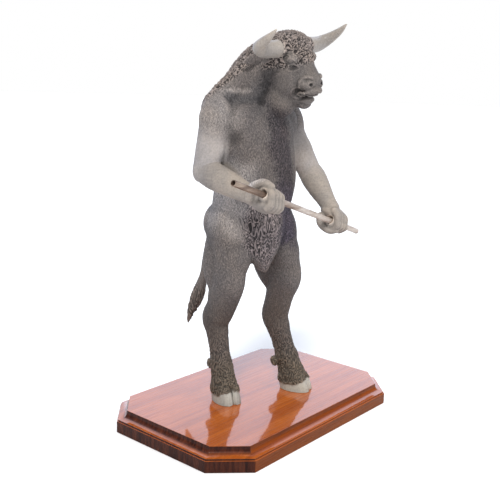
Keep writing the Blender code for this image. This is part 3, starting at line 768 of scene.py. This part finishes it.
def find_head_regions(area, head, half):
    area.near_head = ease(52, 40, distance_to_place(head, (0, -2, -22)))
    area.from_mouth = distance_to_chain(half, MOUTH_LINE)[0]
    area.from_eye = distance_to_place(half, EYE_PLACE, EYE_SIZE)
    area.from_nostril = distance_to_place(half, NOSTRIL_PLACE, NOSTRIL_SIZE)
    horn = distance_to_chain(half, HORN_STATIONS)[0]
    area.horn = ease(12.5, 10.5, horn) * ease(23.0, 25.5, half[:, 0])
    ear = distance_to_chain(half, EAR_STATIONS)[0]
    area.ear = ease(8, 6, ear) * ease(21, 26, half[:, 0]) * (1 - area.horn)
    area.bare = (1 - area.horn) * (1 - area.ear)
    area.brow = ease(9.5, 6.5, distance_to_place(half, BROW_PLACE)) * area.bare
    forehead = ease(-19, -12, head[:, 2] + 0.22 * np.abs(head[:, 0])) * area.near_head
    curls = forehead * ease(30, 18, head[:, 1]) * ease(30, 25, half[:, 0]) * area.bare
    area.curls = curls * (1 - area.brow)
    area.muzzle = ease(-12, -20, head[:, 1]) * ease(-24, -31, head[:, 2]) * area.near_head
    area.face = area.near_head * area.bare * (1 - area.curls) * ease(14, 4, head[:, 1])


def find_mane(area, places, normals):
    x, y, z = places.T
    rising = 0.75 * normals[:, 1] + 0.65 * normals[:, 2]
    over_neck = ease(292, 322, z) * ease(34, 22, np.abs(x + 2)) * ease(0.0, 0.45, rising)
    crest = ease(372, 380, z + 0.6 * np.abs(x) + 0.5 * y) * ease(300, 315, z)
    mane = np.maximum(over_neck, crest) * (1 - area.curls) * (1 - area.near_head * (y < -12))
    area.mane = mane * area.bare


def find_arm_regions(area, places):
    area.arm = np.zeros(len(places))
    area.fist = np.zeros(len(places))
    reach = np.zeros(len(places))
    for side in (-1, 1):
        distance, along = distance_to_chain(places, arm_line(side))
        weight = ease(22, 17, distance) * ease(0.10, 0.30, along)
        reach = np.where(weight > area.arm, along, reach)
        area.arm = np.maximum(area.arm, weight)
        gap = distance_to_place(places, fist_centre(side))
        area.fist = np.maximum(area.fist, ease(24, 19, gap))
    area.forearm = np.maximum(area.arm * ease(0.42, 0.62, reach), area.fist)


def find_body_regions(area, places):
    """The groin tuft, the dark stripe down the belly, and the pale hips and shoulders."""
    x, y, z = places.T
    centre = -9 - 8 * ease(147, 172, z)
    width = 3 + 20 * ease(143, 180, z)
    tuft = ease(width + 5, width - 9, np.abs(x - centre)) * ease(246, 200, z)
    area.tuft = tuft * ease(138, 146, z) * ease(2, -4, y)
    ragged = 5 * lattice_noise(places / 12.0, 61) + 3 * lattice_noise(places / 4.0, 62)
    stripe = ease(22, 9, distance_to_chain(places, STRIPE_LINE)[0] + ragged)
    area.stripe = stripe * (1 - area.arm) * (1 - area.near_head)
    cloudy = 9 * lattice_noise(places / 22.0, 63)
    hip = ease(275, 250, z + cloudy) * ease(178, 224, z + cloudy) * ease(22, 50, np.abs(x))
    area.hip = hip * (1 - area.fist)
    area.shoulder = ease(280, 306, z) * ease(36, 60, np.abs(x)) * (1 - area.mane)


def find_marks(area, places):
    """The folds at the shoulders, and the painted shade under them, under the jaw, down the neck and in the
    armpits, the same on both sides.
    """
    both = places * np.where(places[:, :1] < -1, 1, [[-1, 1, 1]])
    frayed = 2.2 * lattice_noise(places / 6.0, 65)

    def along(line, outer, inner):
        return ease(outer, inner, distance_to_chain(both, line)[0] + frayed)

    fold, share = distance_to_chain(both, FOLD_LINE)
    area.fold = ease(4.5, 0, fold + frayed * 0.5) * ease(0, 0.35, share) * ease(1, 0.6, share)
    area.fold_shade = along(FOLD_SHADE_LINE, 9, 1)
    area.jaw_band = along(JAW_SHADE_LINE, 7, 0) * area.bare
    area.neck_shade = along(NECK_SHADE_LINE, 17, 3) * area.bare
    area.armpit = ease(12, 2, distance_to_place(both, ARMPIT_PLACE))


def find_tail_and_feet(area, places):
    x, y, z = places.T
    tail, along_tail = distance_to_chain(places, TAIL_STATIONS)
    area.tail = ease(14, 11, tail) * ease(48, 56, y)
    area.brush = area.tail * ease(0.62, 0.70, along_tail)
    area.shag = ease(98, 48, z) * ease(62, 52, y)
    fringe = 8.0 + 1.3 * lattice_noise(places / 4.5, 71) + 0.9 * lattice_noise(places / 1.7, 72)
    for side in (-1, 1):
        ahead = (places - np.array(LEGS[side]["hoof"])) @ np.array(toe_frame(side)[1])
        fringe += 5.5 * ease(1, 14, ahead) * (x * side > 0)
    area.hoof = ease(0.35, -0.35, z - fringe)


def arm_line(side):
    shoulder = RIGHT_SHOULDER if side < 0 else LEFT_SHOULDER
    elbow = RIGHT_ELBOW if side < 0 else LEFT_ELBOW
    palm = tuple(fist_centre(side) + Vector((0, 6, side * 5.0)))
    return shoulder, elbow, palm


# Relief: how far each vertex moves along its normal, in shares

def shape_relief(places, area, half):
    """The height of the carving, and the same as a share of the depth that it has there."""
    fur = area.fur
    curls, mane, tuft = area.curls, area.mane, area.tuft
    shag, brush, face = area.shag, area.brush, area.face
    coarse = np.maximum.reduce([curls, mane, tuft, shag, brush])
    short = fur * (1 + 1.3 * area.stripe) * (1 - coarse) * (1 - area.tail * 0.5) * (1 - 0.45 * face)
    parts = [
        (curls, 1.25, 1.7, squiggles(places, 3.6, 3.6, 11, 0.7)),
        (mane * (1 - curls), 1.05, 1.5, squiggles(places, 3.6, 5.0, 23, 0.7)),
        (tuft, 0.8, 1.0, squiggles(places, 2.8, 7.0, 37, 0.6)),
        (shag * fur * (1 - tuft), 0.55, 0.55, squiggles(places, 2.8, 6.0, 41, 0.6)),
        (brush, 0.7, 0.45, squiggles(places, 3.0, 14, 53, 0.5)),
        (short, 0.18, 0.28, squiggles(places, 2.5, 5.0, 67, 0.7)),
    ]
    height = np.zeros(len(places))
    relief = np.zeros(len(places))
    for weight, depth, contrast, shape in parts:
        height += weight * depth * shape
        relief += weight * contrast * shape
    lumps = lattice_noise(places / 9.0, 83)
    height += 0.45 * lumps * np.maximum(shag, mane) * fur
    height += head_relief(places, area, half)
    height += body_relief(places, area)
    return height, np.clip(relief, -1, 1) * (0.6 + 0.4 * np.maximum.reduce([curls, mane, tuft]))


def body_relief(places, area):
    """Folds of skin at the joints, and the hair that overhangs the hooves."""
    z = places[:, 2]
    creases = squiggles(places, 18, 6, 91, 0.5)
    wrinkled = 0.10 * creases * area.forearm * (1 - area.fist)
    wrinkled += 0.5 * area.fold - 0.4 * area.fold_shade - 0.5 * area.jaw_band
    fringe = ease(26, 12, z) * (1 - area.hoof)
    return wrinkled + 0.7 * fringe - 0.3 * area.hoof


def head_relief(places, area, half):
    """Nostrils, the mouth's line, the lids and the folds of skin round them."""
    height = np.zeros(len(places))
    height -= 2.2 * ease(1.35, 0.2, area.from_nostril)
    height += 0.25 * ease(0.7, 0.0, np.abs(area.from_nostril - 1.8)) * area.muzzle
    height += 1.5 * ease(6.0, 0.5, distance_to_place(half, NOSTRIL_FOLD_PLACE))
    height -= 1.1 * ease(2.0, 0.3, area.from_mouth)
    corner = distance_to_place(half, MOUTH_LINE[-1])
    height += 0.4 * np.sin(corner * 2.0) * ease(11, 4, corner) * ease(1.5, 4, corner)
    height += 0.35 * ease(0.6, 0.0, np.abs(area.from_eye - 1.5)) - 0.5 * ease(1.2, 0.4, area.from_eye)
    height += np.maximum(0.35 * area.brow, 0.08 * area.muzzle) * squiggles(places, 9, 5, 97, 0.6)
    height += 0.45 * ease(3.0, 0.2, distance_to_chain(half, RIDGE_LINE)[0])
    return height


# Colour of the resin in each region, before the noise in its material

BODY_GREY = (0.090, 0.0785, 0.0755)
PALE_GREY = (0.245, 0.223, 0.213)
HIP_GREY = (0.300, 0.276, 0.268)
ARM_GREY = (0.305, 0.278, 0.266)
HAND_CREAM = (0.235, 0.205, 0.178)
LID_GREY = (0.150, 0.134, 0.124)
SLATE_SHADE = (0.040, 0.041, 0.045)
SHADE_UNDER_JAW_AND_ARMS = (0.017, 0.0145, 0.014)
GROIN_PURPLE = (0.046, 0.038, 0.053)
STRIPE_PURPLE = (0.031, 0.0245, 0.0280)
LEG_BROWN = (0.064, 0.051, 0.0445)
FOOT_BROWN = (0.066, 0.053, 0.040)
FACE_GREY = (0.096, 0.083, 0.077)
HAIR_BROWN = (0.118, 0.100, 0.093)
TUFT_GREY = (0.119, 0.101, 0.106)
HORN_BONE = (0.265, 0.235, 0.208)
HOOF_GREY = (0.31, 0.295, 0.262)
SHADE_IN_PITS = (0.012, 0.010, 0.010)


def paint_regions(places, area):
    z = places[:, 2]
    colour = np.tile(np.array(BODY_GREY), (len(places), 1))

    def lay(weight, paint):
        colour[:] = colour * (1 - weight[:, None]) + np.array(paint) * weight[:, None]

    lay(area.hip, HIP_GREY)
    lay(area.shoulder * 0.5, PALE_GREY)
    lay(ease(138, 78, z), LEG_BROWN)
    lay(ease(60, 25, z), FOOT_BROWN)
    lay(area.face, FACE_GREY)
    lay(area.arm * 0.9, ARM_GREY)
    lay(area.forearm * 0.9, HAND_CREAM)
    lay(area.stripe * 0.85, STRIPE_PURPLE)
    lay(area.stripe * ease(250, 225, z) * 0.8, GROIN_PURPLE)
    lay(area.tuft * 0.7, TUFT_GREY)
    # Painted shade under the shoulder folds and down the sides of the neck.
    lay(np.maximum(area.neck_shade * 0.25, area.fold_shade * 0.5), SLATE_SHADE)
    # Painted shade: the band under the jaw and the armpits are darkened as shade falls there.
    lay(np.maximum(area.jaw_band * 0.3, area.armpit * 0.6), SHADE_UNDER_JAW_AND_ARMS)
    lay(area.fold * 0.45, PALE_GREY)
    lay(np.maximum(area.muzzle, area.brow) * 0.4, LID_GREY)
    lay(np.maximum(area.curls, 0.7 * area.mane), HAIR_BROWN)
    lay(area.horn, HORN_BONE)
    lay(area.hoof * ease(30, 20, z), HOOF_GREY)
    # Painted shade: the mouth's line, the eyes and the nostrils are darkened with the shade that falls in
    # them.
    lay(ease(2.4, 0.6, area.from_mouth) * 0.6, SHADE_IN_PITS)
    lay(ease(1.2, 0.5, area.from_eye) * 0.6, SHADE_IN_PITS)
    lay(ease(1.3, 0.8, area.from_nostril), SHADE_IN_PITS)
    return colour


# The figure's fine mesh

SKIN_VOXEL = 1.2
SKIN_SMOOTHING_COUNT = 20
FINE_VOXEL = 0.70
FINE_SMOOTHING_COUNT = 4
FIGURE_TRIANGLES = 700000
TIP_MARGIN = 0.00002
RECESS_SIZES = ((4, 0.30), (16, 1.1))


def read_vectors(mesh, source, name):
    values = np.empty(len(mesh.vertices) * 3)
    source.foreach_get(name, values)
    return values.reshape(-1, 3)


def store(mesh, name, values):
    """Keeps a number or a colour for every vertex."""
    kind, key = ("FLOAT", "value") if values.ndim == 1 else ("FLOAT_COLOR", "color")
    layer = mesh.attributes.new(name, kind, "POINT")
    layer.data.foreach_set(key, values.ravel())


def recall(mesh, name):
    layer = mesh.attributes[name]
    if layer.data_type == "FLOAT":
        values = np.empty(len(mesh.vertices))
        layer.data.foreach_get("value", values)
        return values
    values = np.empty(len(mesh.vertices) * 4)
    layer.data.foreach_get("color", values)
    return values.reshape(-1, 4)


def shape_masses():
    """The body's large forms, blended into one smooth skin."""
    bm = bmesh.new()
    add_torso(bm)
    add_neck(bm)
    add_head_masses(bm)
    for side in (-1, 1):
        add_arm(bm, side)
        add_leg(bm, side)
    add_tail(bm)
    add_groin_tuft(bm)
    masses = add_object("masses", mesh_from(bm, "masses"))
    add_remesh(masses, SKIN_VOXEL, SKIN_SMOOTHING_COUNT)
    return take_mesh(masses)


def add_remesh(thing, voxel, smoothing):
    remesh = thing.modifiers.new("blend", "REMESH")
    remesh.mode = "VOXEL"
    remesh.voxel_size = voxel * SHARE
    smooth = thing.modifiers.new("soften", "SMOOTH")
    smooth.factor = 0.5
    smooth.iterations = smoothing


def shape_clay():
    """The whole figure as one smooth closed mesh, cut for the tube and at the soles."""
    bm = bmesh.new()
    shape_features(bm)
    bm.from_mesh(shape_masses())
    clay = add_object("clay", mesh_from(bm, "clay"))
    add_remesh(clay, FINE_VOXEL, FINE_SMOOTHING_COUNT)
    cutters = make_cutters()
    for cutter in cutters:
        cut_with(clay, cutter)
    fine = take_mesh(clay)
    for cutter in cutters:
        bpy.data.objects.remove(cutter, do_unlink=True)
    fine.materials.clear()
    return fine


def keep_surfaces(places):
    """Nothing is carved at the soles or inside the hole for the tube."""
    start, end = in_shares(np.array(tube_ends()))
    from_tube = distance_to_line(places, start, end)[0]
    radius = hole_radius_in_shares()
    keep = ease(0.05, 1.0, places[:, 2]) * ease(radius + 0.1, radius + 1.2, from_tube)
    for side in (-1, 1):
        forward = toe_frame(side)[1]
        front = Vector(LEGS[side]["hoof"]) + forward * (HOOF_DEPTH - 0.5 * CLEFT_DEPTH)
        slit = distance_to_line(places, tuple(front), tuple(front + Vector((0, 0, CLEFT_HEIGHT))))[0]
        keep *= ease(0.55 * CLEFT_DEPTH, 0.75 * CLEFT_DEPTH, slit)
    return keep


def carve(mesh):
    """Moves the vertices by the relief, and stores what the material needs on them."""
    count = len(mesh.vertices)
    raw = read_vectors(mesh, mesh.vertices, "co")
    normals = read_vectors(mesh, mesh.vertex_normals, "vector")
    places = in_shares(raw)
    area, half = find_regions(places, normals)
    height, relief = shape_relief(places, area, half)
    keep = keep_surfaces(places)
    moved = raw + normals * (height * keep * SHARE)[:, None]
    moved[:, 2] = np.minimum(moved[:, 2], cad_box[1][2] - TIP_MARGIN)
    mesh.vertices.foreach_set("co", moved.ravel())
    colour = np.ones((count, 4))
    colour[:, :3] = paint_regions(places, area)
    store(mesh, "tint", colour)
    mesh.update()
    # Painted shade: vertices that lie below their surroundings get a darker colour, partly a paint wash in
    # the recesses and partly the shade that falls in them.
    recess = sum(find_recesses(mesh, rounds) / depth for rounds, depth in RECESS_SIZES)
    recess_shade_weight = 0.25 + 0.2 * area.fur * (1 - area.muzzle)
    relief = np.clip(relief * keep - recess_shade_weight * recess, -1, 1)
    polish = np.maximum(area.horn, area.hoof)
    store(mesh, "relief", relief)
    store(mesh, "fur", area.fur)
    store(mesh, "polish", polish)
    mesh.update()


def find_recesses(mesh, rounds):
    """How far each vertex lies below its surroundings, in shares."""
    places = in_shares(read_vectors(mesh, mesh.vertices, "co"))
    normals = read_vectors(mesh, mesh.vertex_normals, "vector")
    ends = np.empty(len(mesh.edges) * 2, dtype=np.int64)
    mesh.edges.foreach_get("vertices", ends)
    first, second = ends.reshape(-1, 2).T
    count = len(places)
    neighbours = np.bincount(first, minlength=count) + np.bincount(second, minlength=count)
    smooth = places.copy()
    for turn in range(rounds):
        total = np.empty_like(smooth)
        for axis in range(3):
            total[:, axis] = np.bincount(first, smooth[second, axis], count)
            total[:, axis] += np.bincount(second, smooth[first, axis], count)
        smooth = total / np.maximum(neighbours, 1)[:, None]
    return ((smooth - places) * normals).sum(axis=1)


def thin_out(mesh):
    """Fewer triangles where the surface is plain."""
    thing = add_object("thin", mesh)
    triangles = sum(len(face.vertices) - 2 for face in mesh.polygons)
    thin = thing.modifiers.new("thin", "DECIMATE")
    thin.ratio = min(1.0, FIGURE_TRIANGLES / triangles)
    thin.use_collapse_triangulate = True
    return take_mesh(thing)


def split_by_height(mesh, levels):
    """Cuts the mesh into pieces between levels. Each keeps the whole surface's normals."""
    normals = read_vectors(mesh, mesh.vertex_normals, "vector")
    corners = np.empty(len(mesh.loops), dtype=np.int64)
    mesh.loops.foreach_get("vertex_index", corners)
    faces = corners.reshape(-1, 3)
    places = read_vectors(mesh, mesh.vertices, "co")
    heights = in_shares(places)[faces, 2].mean(axis=1)
    layers = {name: recall(mesh, name) for name in ("tint", "relief", "fur", "polish")}
    made = []
    for low, high in zip(levels, levels[1:]):
        chosen = faces[(heights >= low) & (heights < high)]
        used, renumbered = np.unique(chosen, return_inverse=True)
        piece = bpy.data.meshes.new("piece")
        piece.from_pydata(places[used], [], renumbered.reshape(-1, 3))
        for name, values in layers.items():
            store(piece, name, values[used])
        piece.polygons.foreach_set("use_smooth", np.ones(len(chosen), dtype=bool))
        piece.normals_split_custom_set_from_vertices(normals[used])
        made.append(piece)
    return made


# Materials

def new_material(name):
    """A material, and short ways to add linked nodes and to fill the shader's sockets."""
    material = bpy.data.materials.new(name)
    material.use_nodes = True
    tree = material.node_tree
    shader = tree.nodes["Principled BSDF"]

    def add(kind, settings=None, links=None):
        node = tree.nodes.new(kind)
        for key, value in (settings or {}).items():
            if hasattr(node, key):
                setattr(node, key, value)
            else:
                node.inputs[key].default_value = value
        for key, source in (links or {}).items():
            tree.links.new(source, node.inputs[key])
        return node

    def fill(name, value):
        """Links the shader's socket to another node's output, or sets its value."""
        socket = shader.inputs[name]
        if isinstance(value, bpy.types.NodeSocket):
            tree.links.new(value, socket)
        else:
            socket.default_value = value

    return material, add, fill


def ramp(add, source, stops):
    node = add("ShaderNodeValToRGB", links={"Fac": source})
    elements = node.color_ramp.elements
    while len(elements) < len(stops):
        elements.new(0.5)
    for element, (place, value) in zip(elements, stops):
        element.position = place
        colour = value if isinstance(value, tuple) else (value, value, value)
        element.color = (*colour, 1.0)
    return node.outputs["Color"]


def noise(add, scales, detail=3.0, roughness=0.5, distortion=0.0, turn=(0, 0, 0)):
    """Noise with its own scale along each axis."""
    place = add("ShaderNodeTexCoord").outputs["Object"]
    mapped = add("ShaderNodeMapping", {"Scale": scales, "Rotation": turn}, {"Vector": place})
    settings = {"Scale": 1.0, "Detail": detail, "Roughness": roughness, "Distortion": distortion}
    return add("ShaderNodeTexNoise", settings, {"Vector": mapped.outputs["Vector"]}).outputs["Fac"]


def blend(add, first, second, share=None, kind="MIX"):
    node = add("ShaderNodeMix", {"data_type": "RGBA", "blend_type": kind})
    node.inputs["Factor"].default_value = 1.0
    links = node.id_data.links
    links.new(first, node.inputs[6])
    links.new(second, node.inputs[7])
    if share is not None:
        links.new(share, node.inputs["Factor"])
    return node.outputs[2]


def multiply(add, first, second, share=None):
    return blend(add, first, second, share, "MULTIPLY")


def bump(add, strength, distance, height):
    settings = {"Strength": strength, "Distance": distance}
    return add("ShaderNodeBump", settings, {"Height": height}).outputs["Normal"]


def attribute(add, name, output="Fac"):
    return add("ShaderNodeAttribute", {"attribute_name": name}).outputs[output]


def math_node(add, operation, *values):
    node = add("ShaderNodeMath", {"operation": operation})
    tree = node.id_data
    for socket, value in zip(node.inputs, values):
        if isinstance(value, (int, float)):
            socket.default_value = value
        else:
            tree.links.new(value, socket)
    return node.outputs[0]


def resin_material():
    """Painted and dry-brushed resin: pale on the crests of the hair, and dark between them and in the
    surface's recesses, which is partly a paint wash and partly painted shade.
    """
    material, add, fill = new_material("weathered_and_shaded_grey_resin_paint")
    fur = attribute(add, "fur")
    relief = attribute(add, "relief")
    hairs = noise(add, (1500, 1500, 900), 2.0, 0.5, 0.5)
    grime = noise(add, (26, 26, 20), 4.0, 0.6)
    flecks = noise(add, (520, 520, 520), 2.0, 0.5)
    colour = attribute(add, "tint", "Color")
    # Crests lighter from dry-brushing; partings and recesses darker, partly a wash and partly painted
    # shade.
    crests = ramp(add, math_node(add, "MULTIPLY_ADD", relief, 0.5, 0.5),
                  [(0.0, 0.22), (0.30, 0.66), (0.54, 1.04), (0.80, (1.60, 1.56, 1.52)),
                   (1.0, (2.2, 2.12, 2.04))])
    colour = multiply(add, colour, crests)
    speckle = ramp(add, hairs, [(0.30, 0.66), (0.50, 1.0), (0.70, (1.42, 1.40, 1.38))])
    colour = multiply(add, colour, speckle, fur)
    colour = multiply(add, colour, ramp(add, grime, [(0.30, (0.74, 0.76, 0.80)), (0.50, 1.0),
                                                     (0.70, (1.22, 1.18, 1.12))]))
    colour = multiply(add, colour, ramp(add, flecks, [(0.25, 0.82), (0.5, 1.0), (0.75, 1.12)]))
    fill("Base Color", colour)
    gloss = ramp(add, attribute(add, "polish"), [(0.0, 0.72), (1.0, 0.42)])
    fill("Roughness", gloss)
    lifted = math_node(add, "MULTIPLY", hairs, fur)
    fill("Normal", bump(add, 0.55, 0.0005, lifted))
    fill("Specular IOR Level", 0.3)
    return material


def wood_material():
    """Varnished mahogany, its grain along the board and its end grain darker, with painted shade on the
    faces that turn away from the top.
    """
    material, add, fill = new_material("varnished_mahogany_grain")
    figure = noise(add, (5, 95, 60), 4.0, 0.55, 0.8)
    lines = noise(add, (22, 620, 260), 3.0, 0.6, 0.3)
    pores = noise(add, (120, 2300, 1500), 2.0, 0.5)
    colour = ramp(add, figure, [(0.30, (0.280, 0.058, 0.007)), (0.47, (0.350, 0.080, 0.010)),
                                (0.60, (0.410, 0.102, 0.014)), (0.72, (0.320, 0.070, 0.009))])
    colour = multiply(add, colour, ramp(add, lines, [(0.32, 0.74), (0.46, 0.97), (0.70, 1.06)]))
    colour = multiply(add, colour, ramp(add, pores, [(0.30, 0.62), (0.40, 1.0)]))
    streaks = noise(add, (240, 330, 40), 3.0, 0.6, 0.4)
    end_colour = ramp(add, streaks, [(0.34, (0.040, 0.011, 0.008)), (0.50, (0.090, 0.024, 0.014)),
                                     (0.68, (0.160, 0.044, 0.022))])
    facing = add("ShaderNodeSeparateXYZ", links={"Vector": add("ShaderNodeNewGeometry").outputs["Normal"]})
    sideways = math_node(add, "ABSOLUTE", facing.outputs["X"])
    end_share = ramp(add, sideways, [(0.25, 0.0), (0.62, 1.0)])
    colour = blend(add, colour, end_colour, end_share)
    # Painted shade: the colour darkens as a face turns from the top to the sides and underneath.
    painted_side_shade = ramp(add, facing.outputs["Z"], [(0.0, 0.40), (0.85, (0.66, 0.60, 0.55)), (1.0, 1.0)])
    colour = multiply(add, colour, painted_side_shade)
    fill("Base Color", colour)
    gloss = ramp(add, lines, [(0.3, 0.34), (0.7, 0.22)])
    fill("Roughness", gloss)
    varnish = ramp(add, facing.outputs["Z"], [(0.6, 0.1), (0.97, 1.0)])
    fill("Coat Weight", varnish)
    fill("Coat Roughness", 0.06)
    fill("Coat IOR", 1.5)
    fill("Specular IOR Level", 0.06)
    waves = noise(add, (45, 160, 90), 2.0, 0.5)
    fill("Coat Normal", bump(add, 0.10, 0.0004, waves))
    fill("Normal", bump(add, 0.15, 0.0002, lines))
    return material


def metal_material():
    """Pale drawn metal, browner at its near end, with stains drawn out along it."""
    material, add, fill = new_material("aged_pale_metal")
    turn = (0, -math.radians(TUBE_SLOPE_DEGREES), 0)
    stains = noise(add, (30, 170, 170), 3.0, 0.55, turn=turn)
    scratches = noise(add, (60, 2600, 2600), 2.0, 0.5, turn=turn)
    clean = ramp(add, stains, [(0.34, (0.06, 0.035, 0.025)), (0.42, (0.30, 0.22, 0.17)),
                               (0.50, (0.44, 0.37, 0.32)), (0.70, (0.56, 0.50, 0.45))])
    brown = ramp(add, stains, [(0.32, (0.07, 0.045, 0.032)), (0.50, (0.17, 0.115, 0.085)),
                               (0.68, (0.34, 0.26, 0.20))])
    place = add("ShaderNodeSeparateXYZ",
                links={"Vector": add("ShaderNodeTexCoord").outputs["Object"]}).outputs["X"]
    far_share = ramp(add, math_node(add, "MULTIPLY_ADD", place, 10.0, 0.85), [(0.20, 0.0), (0.75, 1.0)])
    colour = blend(add, brown, clean, far_share)
    colour = multiply(add, colour, ramp(add, scratches, [(0.35, 0.80), (0.6, 1.05)]))
    fill("Base Color", colour)
    fill("Roughness", ramp(add, stains, [(0.35, 0.62), (0.6, 0.46)]))
    fill("Metallic", 0.35)
    fill("Normal", bump(add, 0.2, 0.0002, scratches))
    return material


def floor_material():
    material, add, fill = new_material("studio_floor")
    fill("Base Color", (0.93, 0.93, 0.93, 1.0))
    fill("Roughness", 1.0)
    fill("Specular IOR Level", 0.0)
    return material


# Board and tube, with finer edges than the solids have

EDGE_ROUNDING = 0.00045
EDGE_STEPS = 4
FINE_COVE_FACETS = 28
FINE_TUBE_SIDES = 64


def moulding_profile():
    """Set-back and height of each edge of the moulding, from the underside up."""
    profile = [(0.0, 0.0), (0.0, BAND_HEIGHT), (LEDGE_WIDTH, BAND_HEIGHT)]
    profile.append((LEDGE_WIDTH, BAND_HEIGHT + STEP_HEIGHT))
    cove_start = LEDGE_WIDTH + STEP_LEDGE
    cove_top = BAND_HEIGHT + STEP_HEIGHT + COVE_HEIGHT
    for step in range(FINE_COVE_FACETS + 1):
        angle = math.pi / 2 * step / FINE_COVE_FACETS
        set_back = cove_start + COVE_WIDTH * math.sin(angle)
        profile.append((set_back, cove_top - COVE_HEIGHT * math.cos(angle)))
    profile.append((cove_start + COVE_WIDTH, cove_top + TOP_FILLET))
    return profile


def clipped_rectangle(set_back):
    """Corners of the board's outline, moved inwards all round by one set-back."""
    half_length = PLINTH_LENGTH / 2 - set_back
    half_depth = PLINTH_DEPTH / 2 - set_back
    clip = PLINTH_CORNER - set_back * (2 - math.sqrt(2))
    quarter = [(half_length, half_depth - clip), (half_length - clip, half_depth)]
    outline = list(quarter)
    outline += [(-x, y) for x, y in reversed(quarter)]
    outline += [(-x, -y) for x, y in quarter]
    outline += [(x, -y) for x, y in reversed(quarter)]
    return outline


def make_board():
    bm = bmesh.new()
    rings = []
    for set_back, height in moulding_profile():
        rings.append([bm.verts.new((x, y, height)) for x, y in clipped_rectangle(set_back)])
    bridge(bm, rings)
    close_ends(bm, rings)
    board = add_object("plinth_board", mesh_from(bm, "plinth_board"), wood_material())
    soften_edges(board, EDGE_ROUNDING, EDGE_STEPS)
    return board


def soften_edges(thing, width, segments):
    bevel = thing.modifiers.new("rounding", "BEVEL")
    bevel.width = width
    bevel.segments = segments
    bevel.limit_method = "ANGLE"
    bevel.angle_limit = math.radians(25)
    thing.data.shade_smooth()
    bevel.harden_normals = True


def make_tube():
    """A thin tube, open at both ends."""
    start, end = tube_ends()
    axis = (end - start).normalized()
    turn = axis.to_track_quat("Z", "Y").to_matrix()
    outer = TUBE_DIAMETER / 2
    inner = outer - TUBE_WALL
    bm = bmesh.new()
    rings = []
    for place, radius in ((start, outer), (end, outer), (end, inner), (start, inner)):
        ring = []
        for side in range(FINE_TUBE_SIDES):
            angle = 2 * math.pi * side / FINE_TUBE_SIDES
            offset = Vector((math.cos(angle) * radius, math.sin(angle) * radius, 0))
            ring.append(bm.verts.new(place + turn @ offset))
        rings.append(ring)
    bridge(bm, [*rings, rings[0]])
    tube = add_object("metal_tube", mesh_from(bm, "metal_tube"), metal_material())
    soften_edges(tube, TUBE_WALL / 4, 3)
    return tube


# Studio

FLOOR_HALF_WIDTH = 30.0


def make_floor():
    bm = bmesh.new()
    bmesh.ops.create_grid(bm, x_segments=1, y_segments=1, size=FLOOR_HALF_WIDTH)
    floor = add_object("studio_floor", mesh_from(bm, "studio_floor"), floor_material())


def add_lamp(name, place, angle, strength, colour):
    """A soft light from the direction of a place, as from a large lamp far away."""
    lamp = bpy.data.lights.new(name, "SUN")
    lamp.angle = angle
    lamp.energy = strength
    lamp.color = colour
    thing = bpy.data.objects.new(name, lamp)
    thing.location = place
    thing.rotation_euler = (-Vector(place)).to_track_quat("-Z", "Y").to_euler()
    bpy.context.scene.collection.objects.link(thing)


BACKDROP_DIRECTION = (0.65, 0.74, 0.16)
ROOM_BRIGHTNESS = (0.42, 0.42, 0.42)
BACKDROP_BRIGHTNESS = (1.52, 1.72, 2.12)


def light_studio():
    """A bright backdrop behind the figure, a dimmer room in front, and two soft lamps."""
    world = bpy.data.worlds.new("studio")
    bpy.context.scene.world = world
    world.use_nodes = True
    nodes = world.node_tree.nodes
    links = world.node_tree.links
    towards = nodes.new("ShaderNodeVectorMath")
    towards.operation = "DOT_PRODUCT"
    towards.inputs[1].default_value = BACKDROP_DIRECTION
    links.new(nodes.new("ShaderNodeTexCoord").outputs["Generated"], towards.inputs[0])
    fade = nodes.new("ShaderNodeMapRange")
    fade.interpolation_type = "SMOOTHSTEP"
    fade.inputs["From Min"].default_value = 0.25
    fade.inputs["From Max"].default_value = 0.85
    links.new(towards.outputs["Value"], fade.inputs["Value"])
    room = add_world_mix(nodes, links, fade.outputs["Result"])
    room.inputs[6].default_value = (*ROOM_BRIGHTNESS, 1.0)
    room.inputs[7].default_value = (*BACKDROP_BRIGHTNESS, 1.0)
    seen = add_world_mix(nodes, links, nodes.new("ShaderNodeLightPath").outputs["Is Camera Ray"])
    seen.inputs[7].default_value = (1.0, 1.0, 1.0, 1.0)
    links.new(room.outputs[2], seen.inputs[6])
    links.new(seen.outputs[2], nodes["Background"].inputs["Color"])
    add_lamp("key", (-1.5, -0.9, 1.9), 0.32, 3.0, (1.0, 0.99, 0.97))
    add_lamp("fill", (0.7, -1.9, 1.0), 0.55, 1.1, (0.97, 0.98, 1.0))
    bpy.context.scene.view_settings.view_transform = "Standard"


def add_world_mix(nodes, links, share):
    node = nodes.new("ShaderNodeMix")
    node.data_type = "RGBA"
    links.new(share, node.inputs["Factor"])
    return node


def place_camera():
    data = bpy.data.cameras.new("camera")
    data.sensor_width = SENSOR_WIDTH
    data.lens = FOCAL_SHARE * SENSOR_WIDTH
    data.clip_start = 0.01
    data.clip_end = 100.0
    right = Vector(CAMERA_RIGHT).normalized()
    back = right.cross(Vector(CAMERA_UP)).normalized()
    up = back.cross(right)
    camera = bpy.data.objects.new("camera", data)
    turn = Matrix((right, up, back)).transposed().to_4x4()
    camera.matrix_world = Matrix.Translation(Vector(CAMERA_PLACE)) @ turn
    bpy.context.scene.collection.objects.link(camera)
    bpy.context.scene.camera = camera


PIECE_LEVELS = (-10, 120, 196, 258, 316, 500)


def make_figure():
    resin = resin_material()
    clay = shape_clay()
    carve(clay)
    fine = thin_out(clay)
    names = ("minotaur_shins", "minotaur_thighs", "minotaur_waist", "minotaur_chest", "minotaur_head")
    for name, mesh in zip(names, split_by_height(fine, PIECE_LEVELS)):
        piece = add_object(name, mesh, resin)
        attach(piece, "root")
        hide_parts("minotaur")


def main():
    make_floor()
    light_studio()
    place_camera()
    make_figure()
    board = make_board()
    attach(board, "root")
    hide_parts("plinth")
    tube = make_tube()
    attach(tube, "root")
    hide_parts("staff")


main()
